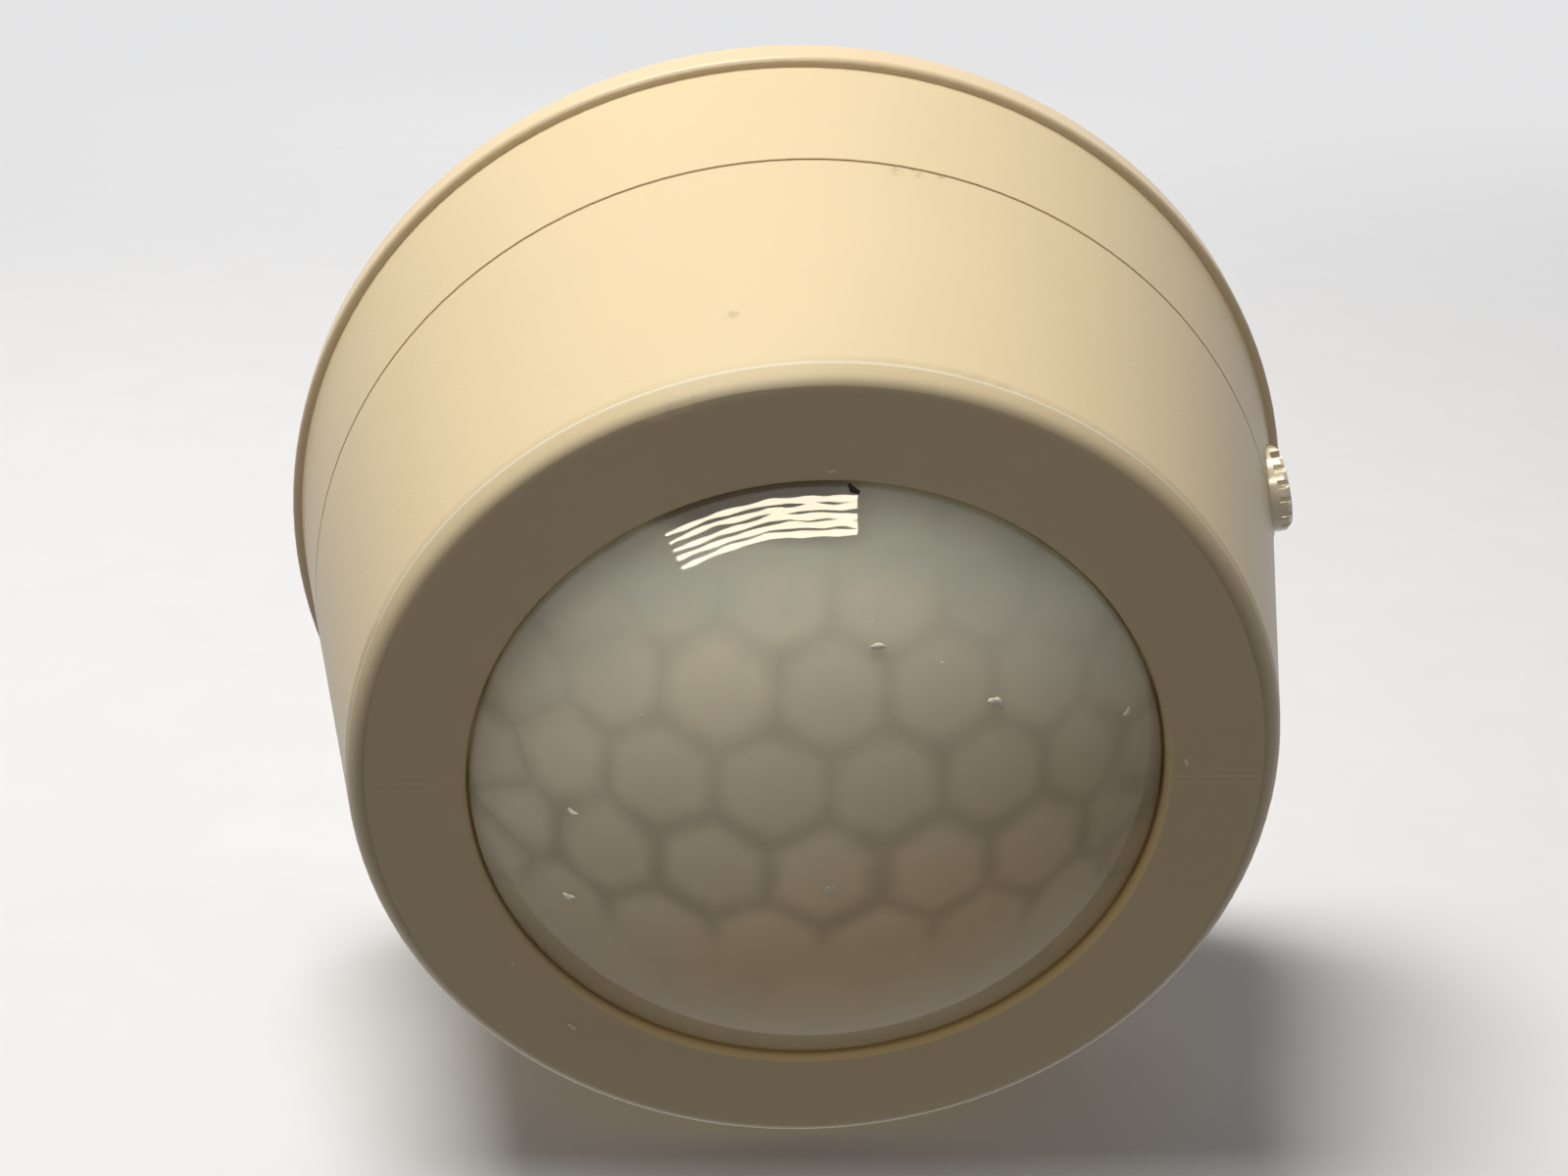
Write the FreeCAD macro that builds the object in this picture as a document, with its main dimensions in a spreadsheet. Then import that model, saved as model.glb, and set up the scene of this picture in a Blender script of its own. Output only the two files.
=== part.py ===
import FreeCAD, Part
import math
import os
import re
import Sketcher

# A ceiling occupancy sensor: a tapered round housing on a round mounting base, with a
# milky domed lens in its ring face and its circuit boards inside.
# The frame: the origin is the middle of the mounting face, +Z points up into the ceiling,
# and everything hangs below it, so heights are negative. Sizes are in millimetres.

os.makedirs("parts", exist_ok=True)
doc = FreeCAD.newDocument("occupancy_sensor")
sheet = doc.addObject("Spreadsheet::Sheet", "Sizes")

SIZES = [
    # Mounting base
    ("lip_step", 1.05, "how far the rim of the base stands out beyond the housing"),
    ("lip_thickness", 4.5, "height of that rim"),
    ("lip_round", 0.7, "rounding of the rim's edges"),
    ("plate_thickness", 3.0, "floor of the base inside the rim"),
    ("spigot_gap", 3.1, "from the housing's wall, at the rim, to the ring that enters it"),
    ("spigot_wall", 2.0, "wall of that ring"),
    ("spigot_height", 5.7, "how far that ring enters the housing"),
    ("cable_radius", 11.0, "round opening for the leads"),
    ("slot_spacing", 88.9, "distance between the two ceiling box screws"),
    ("slot_length", 9.0, "end to end length of a screw slot"),
    ("slot_width", 4.6, "width of a screw slot"),
    # Twist lock between base and housing
    ("lock_count", 3, "lugs on the base, and hooks in the housing"),
    ("lock_reach", 1.8, "how far a lug stands out of the ring"),
    ("lock_thickness", 1.6, "height of a lug"),
    ("lock_angle", 16.0, "length of a lug round the ring, in degrees"),
    ("lock_drop", 3.6, "from the rim's front to a lug"),
    ("lock_clearance", 0.3, "between a lug and its hook"),
    ("hook_overlap", 1.1, "how far a hook reaches over a lug"),
    # Housing
    ("housing_height", 51.1, "from the rim to the ring face"),
    ("rear_radius", 56.1, "outside of the wall at the rim"),
    ("face_radius", 45.85, "outside of the wall at the ring face"),
    ("wall_thickness", 2.4, "side wall, measured level"),
    ("face_thickness", 2.5, "ring face"),
    ("face_round", 2.8, "rounding of the ring face's outer edge"),
    ("ring_width", 11.35, "from the edge of the ring face to the opening for the lens"),
    ("hole_round", 0.6, "rounding of that opening's edge"),
    ("groove_place", 33.8, "from the ring face to the fine groove round the wall"),
    ("groove_width", 0.5, "width of the groove"),
    ("groove_cut", 0.35, "depth of the groove"),
    # Lens
    ("lens_gap", 0.4, "between the lens and the edge of its opening"),
    ("lens_rise", 13.8, "how far the lens stands out of the ring face"),
    ("lens_sink", 0.5, "how far the dome starts behind the ring face"),
    ("lens_wall", 1.6, "wall of the lens in the middle of a cell"),
    ("flange_lap", 2.5, "how far the lens flange lies behind the ring face"),
    ("flange_thickness", 1.5, "lens flange behind the ring face"),
    ("cell_pitch", 10.7, "from one lens cell to the next, along the dome"),
    ("cell_rings", 3, "rings of whole cells round the middle one"),
    ("petal_count", 20, "short cells round the lens edge"),
    ("petal_place", 35.0, "from the top of the dome to a short cell, along the dome"),
    # Ring that clamps the lens
    ("retainer_step", 0.7, "from the hollow of the lens to the clamping ring"),
    ("retainer_gap", 0.85, "from the clamping ring to the housing's wall"),
    ("retainer_thickness", 2.5, "height of the clamping ring"),
    ("retainer_screw_count", 4, "screws that hold it"),
    ("retainer_screw_start", 45.0, "round from +X to the first of them, in degrees"),
    ("retainer_boss", 2.6, "radius of the boss under each of those screws"),
    # Screws
    ("screw_radius", 1.25, "shank of every small screw"),
    ("screw_length", 5.0, "length under the head"),
    ("screw_head", 2.3, "radius of the head"),
    ("screw_head_height", 1.5, "height of the head"),
    ("screw_slot", 0.7, "width of the driver slot"),
    ("screw_play", 0.2, "between a screw and a hole that it passes"),
    ("screw_fit", 0.05, "between a screw and the hole that it is driven into"),
    # Main board and its bosses
    ("board_place", 26.0, "from the mounting face to the front of the main board"),
    ("board_gap", 1.9, "from the main board to the housing's wall"),
    ("board_thickness", 1.6, "both boards"),
    ("board_screw_count", 3, "screws that hold the main board"),
    ("board_boss_sink", 0.5, "how deep the foot of such a boss enters the wall"),
    ("board_screw_start", 90.0, "round from +X to the first of them, in degrees"),
    ("board_boss", 3.6, "radius of the boss under each of those screws"),
    ("board_boss_height", 10.0, "height of that boss on the wall"),
    # Sensor board
    ("spacer_height", 10.0, "between the two boards"),
    ("spacer_radius", 3.0, "outside of a spacer"),
    ("spacer_count", 3, "spacers between the boards"),
    ("spacer_place", 16.0, "radius of the circle of the spacers"),
    ("spacer_start", 90.0, "round from +X to the first spacer, in degrees"),
    ("sensor_board_radius", 20.0, "sensor board"),
    ("connector_length", 12.7, "plug between the boards"),
    ("connector_width", 5.0, "plug between the boards"),
    ("connector_place", 12.0, "from the middle to that plug"),
    ("can_radius", 4.1, "metal can of the heat detector"),
    ("can_height", 4.4, "height of that can"),
    ("can_flange", 4.7, "radius of the can's flange"),
    ("can_flange_height", 0.6, "height of that flange"),
    ("can_wall", 0.4, "sheet of the can"),
    ("window_length", 4.8, "window of the can"),
    ("window_width", 3.6, "window of the can"),
    ("photocell_radius", 2.5, "light cell"),
    ("photocell_height", 2.0, "light cell"),
    ("photocell_place", 11.5, "from the middle to the light cell"),
    ("photocell_angle", -55.0, "round from +X to the light cell, in degrees"),
    ("lamp_radius", 1.5, "indicator lamp"),
    ("lamp_height", 3.2, "straight part of the indicator lamp"),
    ("lamp_place", 10.0, "from the middle to the indicator lamp"),
    ("chip_height", 1.5, "both chips"),
    ("chip_width", 3.9, "both chips"),
    ("chip_leg_count", 4, "legs on each side of a chip"),
    ("chip_leg_width", 0.4, "leg of a chip"),
    ("chip_leg_reach", 0.7, "how far a leg stands out of its chip"),
    ("controller_length", 8.7, "chip on the main board"),
    ("amplifier_length", 4.9, "chip behind the sensor board"),
    ("amplifier_place", 9.0, "from the middle to the chip behind the sensor board"),
    # Side adjuster
    ("knob_angle", 12.0, "round the housing, from +X towards -Y, in degrees"),
    ("knob_place", 14.1, "from the mounting face to the middle of the knob"),
    ("knob_radius", 4.8, "knob"),
    ("knob_thickness", 3.5, "knob"),
    ("knob_proud", 1.35, "how far the knob stands out of the wall"),
    ("knob_play", 0.3, "between the knob and its hole"),
    ("knob_chamfer", 0.5, "edge of the knob"),
    ("knob_slot_width", 1.4, "driver slot of the knob"),
    ("knob_slot_depth", 1.2, "driver slot of the knob"),
    ("knob_notch_radius", 0.5, "grip notch of the knob"),
    ("knob_notch_count", 16, "grip notches"),
    ("knob_socket", 2.4, "how far the shaft enters the knob"),
    ("shaft_radius", 1.5, "shaft of the adjuster"),
    ("shaft_play", 0.05, "between the shaft and what holds it"),
    ("shaft_seat", 5.0, "how far the shaft enters the adjuster's block"),
    ("block_depth", 7.0, "adjuster's block, along its shaft"),
    ("block_width", 9.6, "adjuster's block"),
    ("block_margin", 0.5, "from the adjuster's block to the board's edge"),
    ("bush_radius", 3.4, "bush of the adjuster"),
    ("bush_length", 3.2, "bush of the adjuster"),
    # Trimmers on the main board
    ("trimmer_side", 6.8, "square body of a trimmer"),
    ("trimmer_height", 4.6, "body of a trimmer"),
    ("rotor_radius", 2.6, "turning part of a trimmer"),
    ("rotor_height", 1.3, "turning part of a trimmer"),
    ("rotor_sink", 0.9, "how deep it sits in the body"),
    ("rotor_play", 0.1, "round it"),
    ("rotor_slot", 0.7, "width and depth of its driver slot"),
    # Parts on the main board
    ("relay_length", 29.0, "relay"),
    ("relay_width", 12.8, "relay"),
    ("relay_height", 15.7, "relay"),
    ("case_round", 0.6, "rounding of the relay and the film capacitor"),
    ("film_length", 18.0, "film capacitor"),
    ("film_width", 8.5, "film capacitor"),
    ("film_height", 15.0, "film capacitor"),
    ("smoothing_radius", 5.0, "large round capacitor"),
    ("smoothing_height", 16.0, "large round capacitor"),
    ("output_radius", 3.15, "small round capacitor"),
    ("output_height", 11.0, "small round capacitor"),
    ("can_crimp", 0.4, "depth of the crimp round a capacitor"),
    ("crimp_place", 1.5, "from a capacitor's foot to its crimp"),
    ("varistor_radius", 5.0, "surge disc"),
    ("varistor_thickness", 3.6, "surge disc"),
    ("fuse_radius", 4.2, "fuse"),
    ("fuse_height", 7.7, "fuse"),
    ("choke_radius", 4.5, "coil"),
    ("choke_height", 9.0, "coil"),
    ("choke_flange", 1.2, "end plate of the coil"),
    ("choke_winding", 3.6, "radius of the coil's winding"),
    ("bridge_side", 8.2, "rectifier"),
    ("bridge_height", 3.2, "rectifier"),
    ("regulator_radius", 2.4, "voltage regulator"),
    ("regulator_height", 4.8, "voltage regulator"),
    ("regulator_flat", 1.4, "from the middle of the voltage regulator to its flat side"),
    ("resistor_radius", 1.15, "resistor"),
    ("resistor_length", 6.3, "resistor"),
    ("diode_radius", 1.3, "diode"),
    ("diode_length", 5.2, "diode"),
    ("lead_radius", 0.35, "wire of a resistor or a diode"),
    ("lead_reach", 1.6, "from its end to the middle of its wire's leg"),
    ("lead_bend", 0.8, "bend of that wire, at its middle"),
    ("lead_lift", 0.5, "under a resistor or a diode"),
    ("terminal_pitch", 7.6, "from one terminal to the next"),
    ("terminal_count", 3, "terminals of the terminal block"),
    ("terminal_depth", 12.0, "terminal block"),
    ("terminal_height", 13.0, "terminal block"),
    ("terminal_screw", 2.2, "radius of a terminal screw's head"),
    ("terminal_screw_height", 3.0, "terminal screw"),
    ("terminal_well", 4.0, "depth of the well over a terminal screw"),
    ("terminal_mouth", 3.6, "side of a square wire opening"),
    ("terminal_mouth_depth", 6.0, "depth of a wire opening"),
    # Places on the back of the main board: an edge is the way in from the board's edge
    ("relay_x", -14.0, "relay, from the middle"),
    ("relay_edge", 11.1, "relay"),
    ("film_x", 20.0, "film capacitor, from the middle"),
    ("film_edge", 13.2, "film capacitor"),
    ("varistor_x", 22.0, "surge disc, from the middle"),
    ("varistor_edge", 12.5, "surge disc"),
    ("fuse_x", -20.0, "fuse, from the middle"),
    ("fuse_edge", 12.3, "fuse"),
    ("choke_edge", 9.0, "coil"),
    ("choke_y", 9.0, "coil, from the middle"),
    ("bridge_x", 18.0, "rectifier, from the middle"),
    ("bridge_y", 15.0, "rectifier, from the middle"),
    ("regulator_x", 20.0, "voltage regulator, from the middle"),
    ("regulator_y", 4.0, "voltage regulator, from the middle"),
    ("smoothing_edge", 7.5, "large round capacitor"),
    ("smoothing_y", 14.0, "large round capacitor, from the middle"),
    ("output_edge", 9.3, "small round capacitor"),
    ("output_y", 5.0, "small round capacitor, from the middle"),
    ("terminal_x", 0.0, "terminal block, from the middle"),
    ("terminal_edge", 10.5, "terminal block"),
    ("controller_x", 22.0, "controller chip, from the middle"),
    ("controller_y", -14.0, "controller chip, from the middle"),
    ("trimmer_edge", 9.1, "sensitivity trimmer"),
    ("trimmer_pitch", 9.0, "from one trimmer to the other"),
    ("trimmer_y", -5.0, "both trimmers, from the middle"),
    ("resistor_x", 0.0, "row of resistors, from the middle"),
    ("resistor_y", 8.0, "first resistor of the row"),
    ("resistor_pitch", 4.0, "from one resistor to the next"),
    ("resistor_count", 5, "resistors"),
    ("diode_x", -18.0, "row of diodes, from the middle"),
    ("diode_y", 14.0, "first diode of the row"),
    ("diode_pitch", 5.0, "from one diode to the next"),
    ("diode_count", 3, "diodes"),
]


def fill_sheet():
    """One row for each size: its name, its value under that name, and what it is."""
    for row, (name, value, note) in enumerate(SIZES, start=1):
        sheet.set(f"A{row}", name)
        sheet.set(f"B{row}", str(value))
        sheet.set(f"C{row}", note)
        sheet.setAlias(f"B{row}", name)
    doc.recompute()


def cell(formula):
    """Turns the size names in a formula into references to the sheet."""
    return re.sub(r"[a-z]+(_[a-z]+)+", r"Sizes.\g<0>", str(formula))


def value(formula):
    """The present value of a formula."""
    return float(sheet.evalExpression(cell(formula)))


def count(name):
    """A whole number from the sheet."""
    return int(round(value(name)))


def drive(thing, **formulas):
    """Ties properties of an object to formulas."""
    for name, formula in formulas.items():
        thing.setExpression(name, cell(formula))


def place(thing, x="0", y="0", z="0"):
    """Ties the place of an object to formulas."""
    thing.setExpression("Placement.Base.x", cell(x))
    thing.setExpression("Placement.Base.y", cell(y))
    thing.setExpression("Placement.Base.z", cell(z))
    return thing


# Heights and radii that several pieces share

def wall_at(height):
    """Outer radius of the tapered wall at a height."""
    taper = "(rear_radius - face_radius) / housing_height"
    return f"(rear_radius + ({height} + lip_thickness) * {taper})"


RIM_FRONT = "(-lip_thickness)"
FACE = "(-(lip_thickness + housing_height))"
FACE_INSIDE = f"({FACE} + face_thickness)"
FLANGE_BACK = f"({FACE_INSIDE} + flange_thickness)"
RETAINER_BACK = f"({FLANGE_BACK} + retainer_thickness)"
BOARD_FRONT = "(-board_place)"
BOARD_BACK = "(-board_place + board_thickness)"
SENSOR_BACK = f"({BOARD_FRONT} - spacer_height)"
SENSOR_FRONT = f"({SENSOR_BACK} - board_thickness)"
LOCK_TOP = f"({RIM_FRONT} - lock_drop)"
LIP_RADIUS = "(rear_radius + lip_step)"
SPIGOT_RADIUS = "(rear_radius - wall_thickness - spigot_gap)"
HOLE_RADIUS = "(face_radius - ring_width)"
LENS_RADIUS = f"({HOLE_RADIUS} - lens_gap)"
FLANGE_RADIUS = f"({HOLE_RADIUS} + flange_lap)"
WALL_AT_FACE = f"({wall_at(FACE_INSIDE)} - wall_thickness)"
RETAINER_SCREWS = f"(({FLANGE_RADIUS} + {WALL_AT_FACE}) / 2)"
BOSS_FOOT = f"({BOARD_FRONT} - board_boss_height)"
BOARD_RADIUS = f"({wall_at(BOARD_FRONT)} - wall_thickness - board_gap)"
BOARD_SCREWS = f"({wall_at(BOSS_FOOT)} - wall_thickness + board_boss_sink - board_boss)"
DOME_HEIGHT = "(lens_rise + lens_sink)"
DOME_RADIUS = f"(({LENS_RADIUS} * {LENS_RADIUS} + {DOME_HEIGHT} * {DOME_HEIGHT}) / (2 * {DOME_HEIGHT}))"
DOME_CENTRE = f"({FACE} - lens_rise + {DOME_RADIUS})"
KNOB_FACE = "(rear_radius - (knob_place - lip_thickness) * (rear_radius - face_radius)"
KNOB_FACE += " / housing_height + knob_proud)"


# Ways to make a shape

def origin_part(body, role):
    """A plane or an axis of a body's own origin."""
    for part in body.Origin.OriginFeatures:
        if part.Role == role:
            return part
    raise ValueError(role)


def new_body(label):
    body = doc.addObject("PartDesign::Body", label)
    body.Label = label
    return body


def new_sketch(body, name, plane, lift="0"):
    """An empty sketch on a plane of the body's origin, lifted along the plane's normal."""
    sketch = body.newObject("Sketcher::SketchObject", name)
    sketch.AttachmentSupport = (origin_part(body, plane), "")
    sketch.MapMode = "FlatFace"
    sketch.setExpression("AttachmentOffset.Base.z", cell(lift))
    return sketch


def hold_point(sketch, edge, end, x, y):
    """Ties one point of a sketch to two formulas."""
    for kind, formula, axis in (("DistanceX", x, -2), ("DistanceY", y, -1)):
        if formula == "0":
            sketch.addConstraint(Sketcher.Constraint("PointOnObject", edge, end, axis))
            continue
        number = sketch.addConstraint(Sketcher.Constraint(kind, edge, end, value(formula)))
        sketch.setExpression(f"Constraints[{number}]", cell(formula))


def draw_outline(sketch, corners):
    """Draws a closed outline of straight edges, its corners given as pairs of formulas."""
    total = len(corners)
    points = [FreeCAD.Vector(value(x), value(y), 0) for x, y in corners]
    for edge in range(total):
        sketch.addGeometry(Part.LineSegment(points[edge], points[(edge + 1) % total]))
    for edge in range(total):
        sketch.addConstraint(Sketcher.Constraint("Coincident", edge, 2, (edge + 1) % total, 1))
    for edge, (x, y) in enumerate(corners):
        hold_point(sketch, edge, 1, x, y)
    return sketch


def draw_circle(sketch, x, y, radius):
    """Draws one circle."""
    centre = FreeCAD.Vector(value(x), value(y), 0)
    edge = sketch.addGeometry(Part.Circle(centre, FreeCAD.Vector(0, 0, 1), value(radius)))
    hold_point(sketch, edge, 3, x, y)
    number = sketch.addConstraint(Sketcher.Constraint("Radius", edge, value(radius)))
    sketch.setExpression(f"Constraints[{number}]", cell(radius))
    return sketch


def revolve(body, name, corners):
    """Turns an outline of (radius, height) corners once round the vertical axis."""
    sketch = draw_outline(new_sketch(body, name + "_outline", "XZ_Plane"), corners)
    turn = body.newObject("PartDesign::Revolution", name)
    turn.Profile = sketch
    turn.ReferenceAxis = (sketch, ["V_Axis"])
    turn.Angle = 360
    doc.recompute()
    return turn


def part_turn(body, name, corners, angle):
    """Turns an outline part of the way round, as far to one side as to the other."""
    turn = revolve(body, name, corners)
    turn.Midplane = True
    drive(turn, Angle=angle)
    doc.recompute()
    return turn


def pad_circle(body, name, x, y, radius, base, height):
    """A round boss from one height up."""
    pad = body.newObject("PartDesign::Pad", name)
    pad.Profile = draw_circle(new_sketch(body, name + "_outline", "XY_Plane", base), x, y, radius)
    drive(pad, Length=height)
    doc.recompute()
    return pad


def sink_circle(body, name, x, y, radius, top, depth):
    """A round hole from one height down."""
    pocket = body.newObject("PartDesign::Pocket", name)
    pocket.Profile = draw_circle(new_sketch(body, name + "_outline", "XY_Plane", top), x, y, radius)
    drive(pocket, Length=depth)
    doc.recompute()
    return pocket


def repeat_round(body, name, features, copies, axis="Z_Axis"):
    """Repeats features evenly round an axis."""
    pattern = body.newObject("PartDesign::PolarPattern", name)
    pattern.Originals = features
    pattern.Axis = (origin_part(body, axis), [""])
    pattern.Angle = 360
    drive(pattern, Occurrences=copies)
    body.Tip = pattern
    doc.recompute()
    return pattern


def circle_edges(shape, radius, height):
    """Names of the level circular edges of a shape with a radius, at a height."""
    names = []
    close = 1e-4
    for number, edge in enumerate(shape.Edges, start=1):
        curve = edge.Curve
        if not isinstance(curve, Part.Circle):
            continue
        same_radius = abs(curve.Radius - value(radius)) < close
        same_height = abs(curve.Center.z - value(height)) < close
        if same_radius and same_height:
            names.append(f"Edge{number}")
    return names


def round_rim(body, name, feature, radius, height, size):
    """Rounds a circular edge of a body."""
    fillet = body.newObject("PartDesign::Fillet", name)
    fillet.Base = (feature, circle_edges(feature.Shape, radius, height))
    drive(fillet, Radius=size)
    doc.recompute()
    return fillet


def make_box(name, length, width, height, x="0", y="0", z="0"):
    """A block whose floor is at z, with its middle over x and y."""
    block = doc.addObject("Part::Box", name)
    drive(block, Length=length, Width=width, Height=height)
    return place(block, f"{x} - ({length}) / 2", f"{y} - ({width}) / 2", z)


def make_cylinder(name, radius, height, x="0", y="0", z="0"):
    """An upright cylinder whose floor is at z."""
    cylinder = doc.addObject("Part::Cylinder", name)
    drive(cylinder, Radius=radius, Height=height)
    return place(cylinder, x, y, z)


def make_level_cylinder(name, radius, length, x, y, z):
    """A cylinder along X that starts at x."""
    cylinder = doc.addObject("Part::Cylinder", name)
    cylinder.Placement.Rotation = FreeCAD.Rotation(FreeCAD.Vector(0, 1, 0), 90)
    drive(cylinder, Radius=radius, Height=length)
    return place(cylinder, x, y, z)


def make_ball(name, radius, x="0", y="0", z="0"):
    ball = doc.addObject("Part::Sphere", name)
    drive(ball, Radius=radius)
    return place(ball, x, y, z)


def join(name, *shapes):
    """One solid out of several shapes."""
    fuse = doc.addObject("Part::MultiFuse", name)
    fuse.Shapes = list(shapes)
    fuse.Refine = True
    return fuse


def cut(name, base, tool):
    """A shape less another one."""
    rest = doc.addObject("Part::Cut", name)
    rest.Base = base
    rest.Tool = tool
    return rest


def shared(name, base, other):
    """What two shapes share."""
    common = doc.addObject("Part::Common", name)
    common.Base = base
    common.Tool = other
    return common


def round_uprights(name, base, size):
    """Rounds the upright edges of a block."""
    doc.recompute()
    fillet = doc.addObject("Part::Fillet", name)
    fillet.Base = base
    radius = value(size)
    edges = []
    for number, edge in enumerate(base.Shape.Edges, start=1):
        along = edge.tangentAt(edge.FirstParameter)
        if abs(along.z) > 0.99:
            edges.append((number, radius, radius))
    fillet.Edges = edges
    return fillet


def group(label, pattern, places, turned=()):
    """A set of like solids: copies of a pattern piece, some of them upside down."""
    copies = []
    for number, (x, y, z) in enumerate(places):
        copy = doc.addObject("App::Link", f"{label}_{number + 1}")
        copy.LinkedObject = pattern
        if number in turned:
            copy.Placement.Rotation = FreeCAD.Rotation(FreeCAD.Vector(1, 0, 0), 180)
        copies.append(place(copy, x, y, z))
    together = doc.addObject("Part::Compound", label)
    together.Links = copies
    together.Label = label
    return together


def edge_place(edge, half):
    """From the middle of the main board to the middle of a part that stands near its edge."""
    return f"({BOARD_RADIUS} - {edge} - {half})"


def ring_places(copies, radius, start, height):
    """Places evenly round a circle, the first at a start angle."""
    places = []
    for number in range(count(copies)):
        angle = f"({start} + {number} * 360 / {copies})"
        places.append((f"{radius} * cos{angle}", f"{radius} * sin{angle}", height))
    return places


# The shell of the sensor

def mounting_base():
    """Moulded base: floor, rim, the ring that enters the housing with its lock lugs."""
    spigot_front = f"({RIM_FRONT} - spigot_height)"
    spigot_inside = f"({SPIGOT_RADIUS} - spigot_wall)"
    body = new_body("mounting_base_disc")
    disc = revolve(body, "base_disc", [
        ("cable_radius", "0"),
        (LIP_RADIUS, "0"),
        (LIP_RADIUS, RIM_FRONT),
        (SPIGOT_RADIUS, RIM_FRONT),
        (SPIGOT_RADIUS, spigot_front),
        (spigot_inside, spigot_front),
        (spigot_inside, "-plate_thickness"),
        ("cable_radius", "-plate_thickness"),
    ])
    back_edge = round_rim(body, "base_back_edge", disc, LIP_RADIUS, "0", "lip_round")
    round_rim(body, "base_front_edge", back_edge, LIP_RADIUS, RIM_FRONT, "lip_round")
    root = f"({SPIGOT_RADIUS} - spigot_wall / 2)"
    tip = f"({SPIGOT_RADIUS} + lock_reach)"
    lug = part_turn(body, "lock_lug", [
        (root, LOCK_TOP),
        (tip, LOCK_TOP),
        (tip, f"{LOCK_TOP} - lock_thickness"),
        (root, f"{LOCK_TOP} - lock_thickness"),
    ], "lock_angle")
    repeat_round(body, "lock_lugs", [lug], "lock_count")
    slots = []
    for side, sign in (("right", "1"), ("left", "-1")):
        middle = f"({sign} * slot_spacing / 2)"
        straight = "(slot_length - slot_width)"
        tall = "3 * plate_thickness"
        below = "-2 * plate_thickness"
        slots.append(make_box(f"slot_{side}_middle", straight, "slot_width", tall, middle, "0", below))
        for end, shift in (("a", "- 1"), ("b", "+ 1")):
            x = f"({middle} {shift} * {straight} / 2)"
            name = f"slot_{side}_end_{end}"
            slots.append(make_cylinder(name, "slot_width / 2", tall, x, "0", below))
    base = cut("mounting_base", body, join("screw_slots", *slots))
    return base


def housing():
    """Moulded housing: tapered wall, ring face, bosses, lock hooks and the knob's hole."""
    body = new_body("housing")
    shell = revolve(body, "housing_shell", [
        ("rear_radius", RIM_FRONT),
        ("face_radius", FACE),
        (HOLE_RADIUS, FACE),
        (HOLE_RADIUS, FACE_INSIDE),
        (WALL_AT_FACE, FACE_INSIDE),
        ("rear_radius - wall_thickness", RIM_FRONT),
    ])
    outer = round_rim(body, "face_outer_edge", shell, "face_radius", FACE, "face_round")
    round_rim(body, "face_hole_edge", outer, HOLE_RADIUS, FACE, "hole_round")

    groove = body.newObject("PartDesign::Groove", "wall_groove")
    middle = f"({FACE} + groove_place)"
    above = f"({middle} + groove_width / 2)"
    below = f"({middle} - groove_width / 2)"
    groove.Profile = draw_outline(new_sketch(body, "wall_groove_outline", "XZ_Plane"), [
        (f"{wall_at(middle)} - groove_cut", middle),
        (f"{wall_at(above)} + groove_cut", above),
        (f"{wall_at(below)} + groove_cut", below),
    ])
    groove.ReferenceAxis = (groove.Profile[0], ["V_Axis"])
    groove.Angle = 360
    doc.recompute()

    hook_front = f"({LOCK_TOP} + lock_clearance)"
    hook_back = f"({hook_front} + lock_thickness)"
    hook_tip = f"({SPIGOT_RADIUS} + lock_reach - hook_overlap)"
    hook_root = f"({wall_at(hook_front)} - wall_thickness / 2)"
    hook = part_turn(body, "lock_hook", [
        (hook_tip, hook_front),
        (hook_root, hook_front),
        (hook_root, hook_back),
        (hook_tip, hook_back),
    ], "lock_angle")
    repeat_round(body, "lock_hooks", [hook], "lock_count")

    x, y, _ = ring_places("retainer_screw_count", RETAINER_SCREWS, "retainer_screw_start", "0")[0]
    boss = pad_circle(body, "lens_boss", x, y, "retainer_boss", FACE_INSIDE, "flange_thickness")
    pilot_depth = "screw_length - retainer_thickness + screw_fit"
    pilot = sink_circle(body, "lens_boss_hole", x, y, "screw_radius + screw_fit", FLANGE_BACK, pilot_depth)
    repeat_round(body, "lens_bosses", [boss, pilot], "retainer_screw_count")

    x, y, _ = ring_places("board_screw_count", BOARD_SCREWS, "board_screw_start", "0")[0]
    boss = pad_circle(body, "board_boss_post", x, y, "board_boss", BOSS_FOOT, "board_boss_height")
    pilot_depth = "screw_length - board_thickness + screw_fit"
    pilot = sink_circle(body, "board_boss_hole", x, y, "screw_radius + screw_fit", BOARD_FRONT, pilot_depth)
    repeat_round(body, "board_bosses", [boss, pilot], "board_screw_count")

    window = new_sketch(body, "knob_hole_outline", "YZ_Plane")
    window.AttachmentOffset = FreeCAD.Placement(
        FreeCAD.Vector(0, 0, 0), FreeCAD.Rotation(FreeCAD.Vector(0, -1, 0), value("knob_angle")))
    window.setExpression("AttachmentOffset.Rotation.Angle", cell("knob_angle"))
    draw_circle(window, "0", "-knob_place", "knob_radius + knob_play")
    hole = body.newObject("PartDesign::Pocket", "knob_hole")
    hole.Profile = window
    hole.Reversed = True
    drive(hole, Length="2 * rear_radius")
    body.Tip = hole
    doc.recompute()
    return body


def lens():
    """Moulded milky dome with a flange, its inner face made of a lattice of cells."""
    ball = make_ball("dome_ball", DOME_RADIUS, z=DOME_CENTRE)
    reach = f"({DOME_HEIGHT} + face_thickness + flange_thickness)"
    column = make_cylinder("dome_column", LENS_RADIUS, reach, z=f"{FLANGE_BACK} - {reach}")
    flange = make_cylinder("dome_flange", FLANGE_RADIUS, "flange_thickness", z=FACE_INSIDE)
    outside = join("dome_outside", shared("dome_body", ball, column), flange)
    hollow = doc.addObject("Part::Feature", "lens_hollow")
    hollow.Shape = lens_hollow()
    return cut("lens", outside, hollow)


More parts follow.
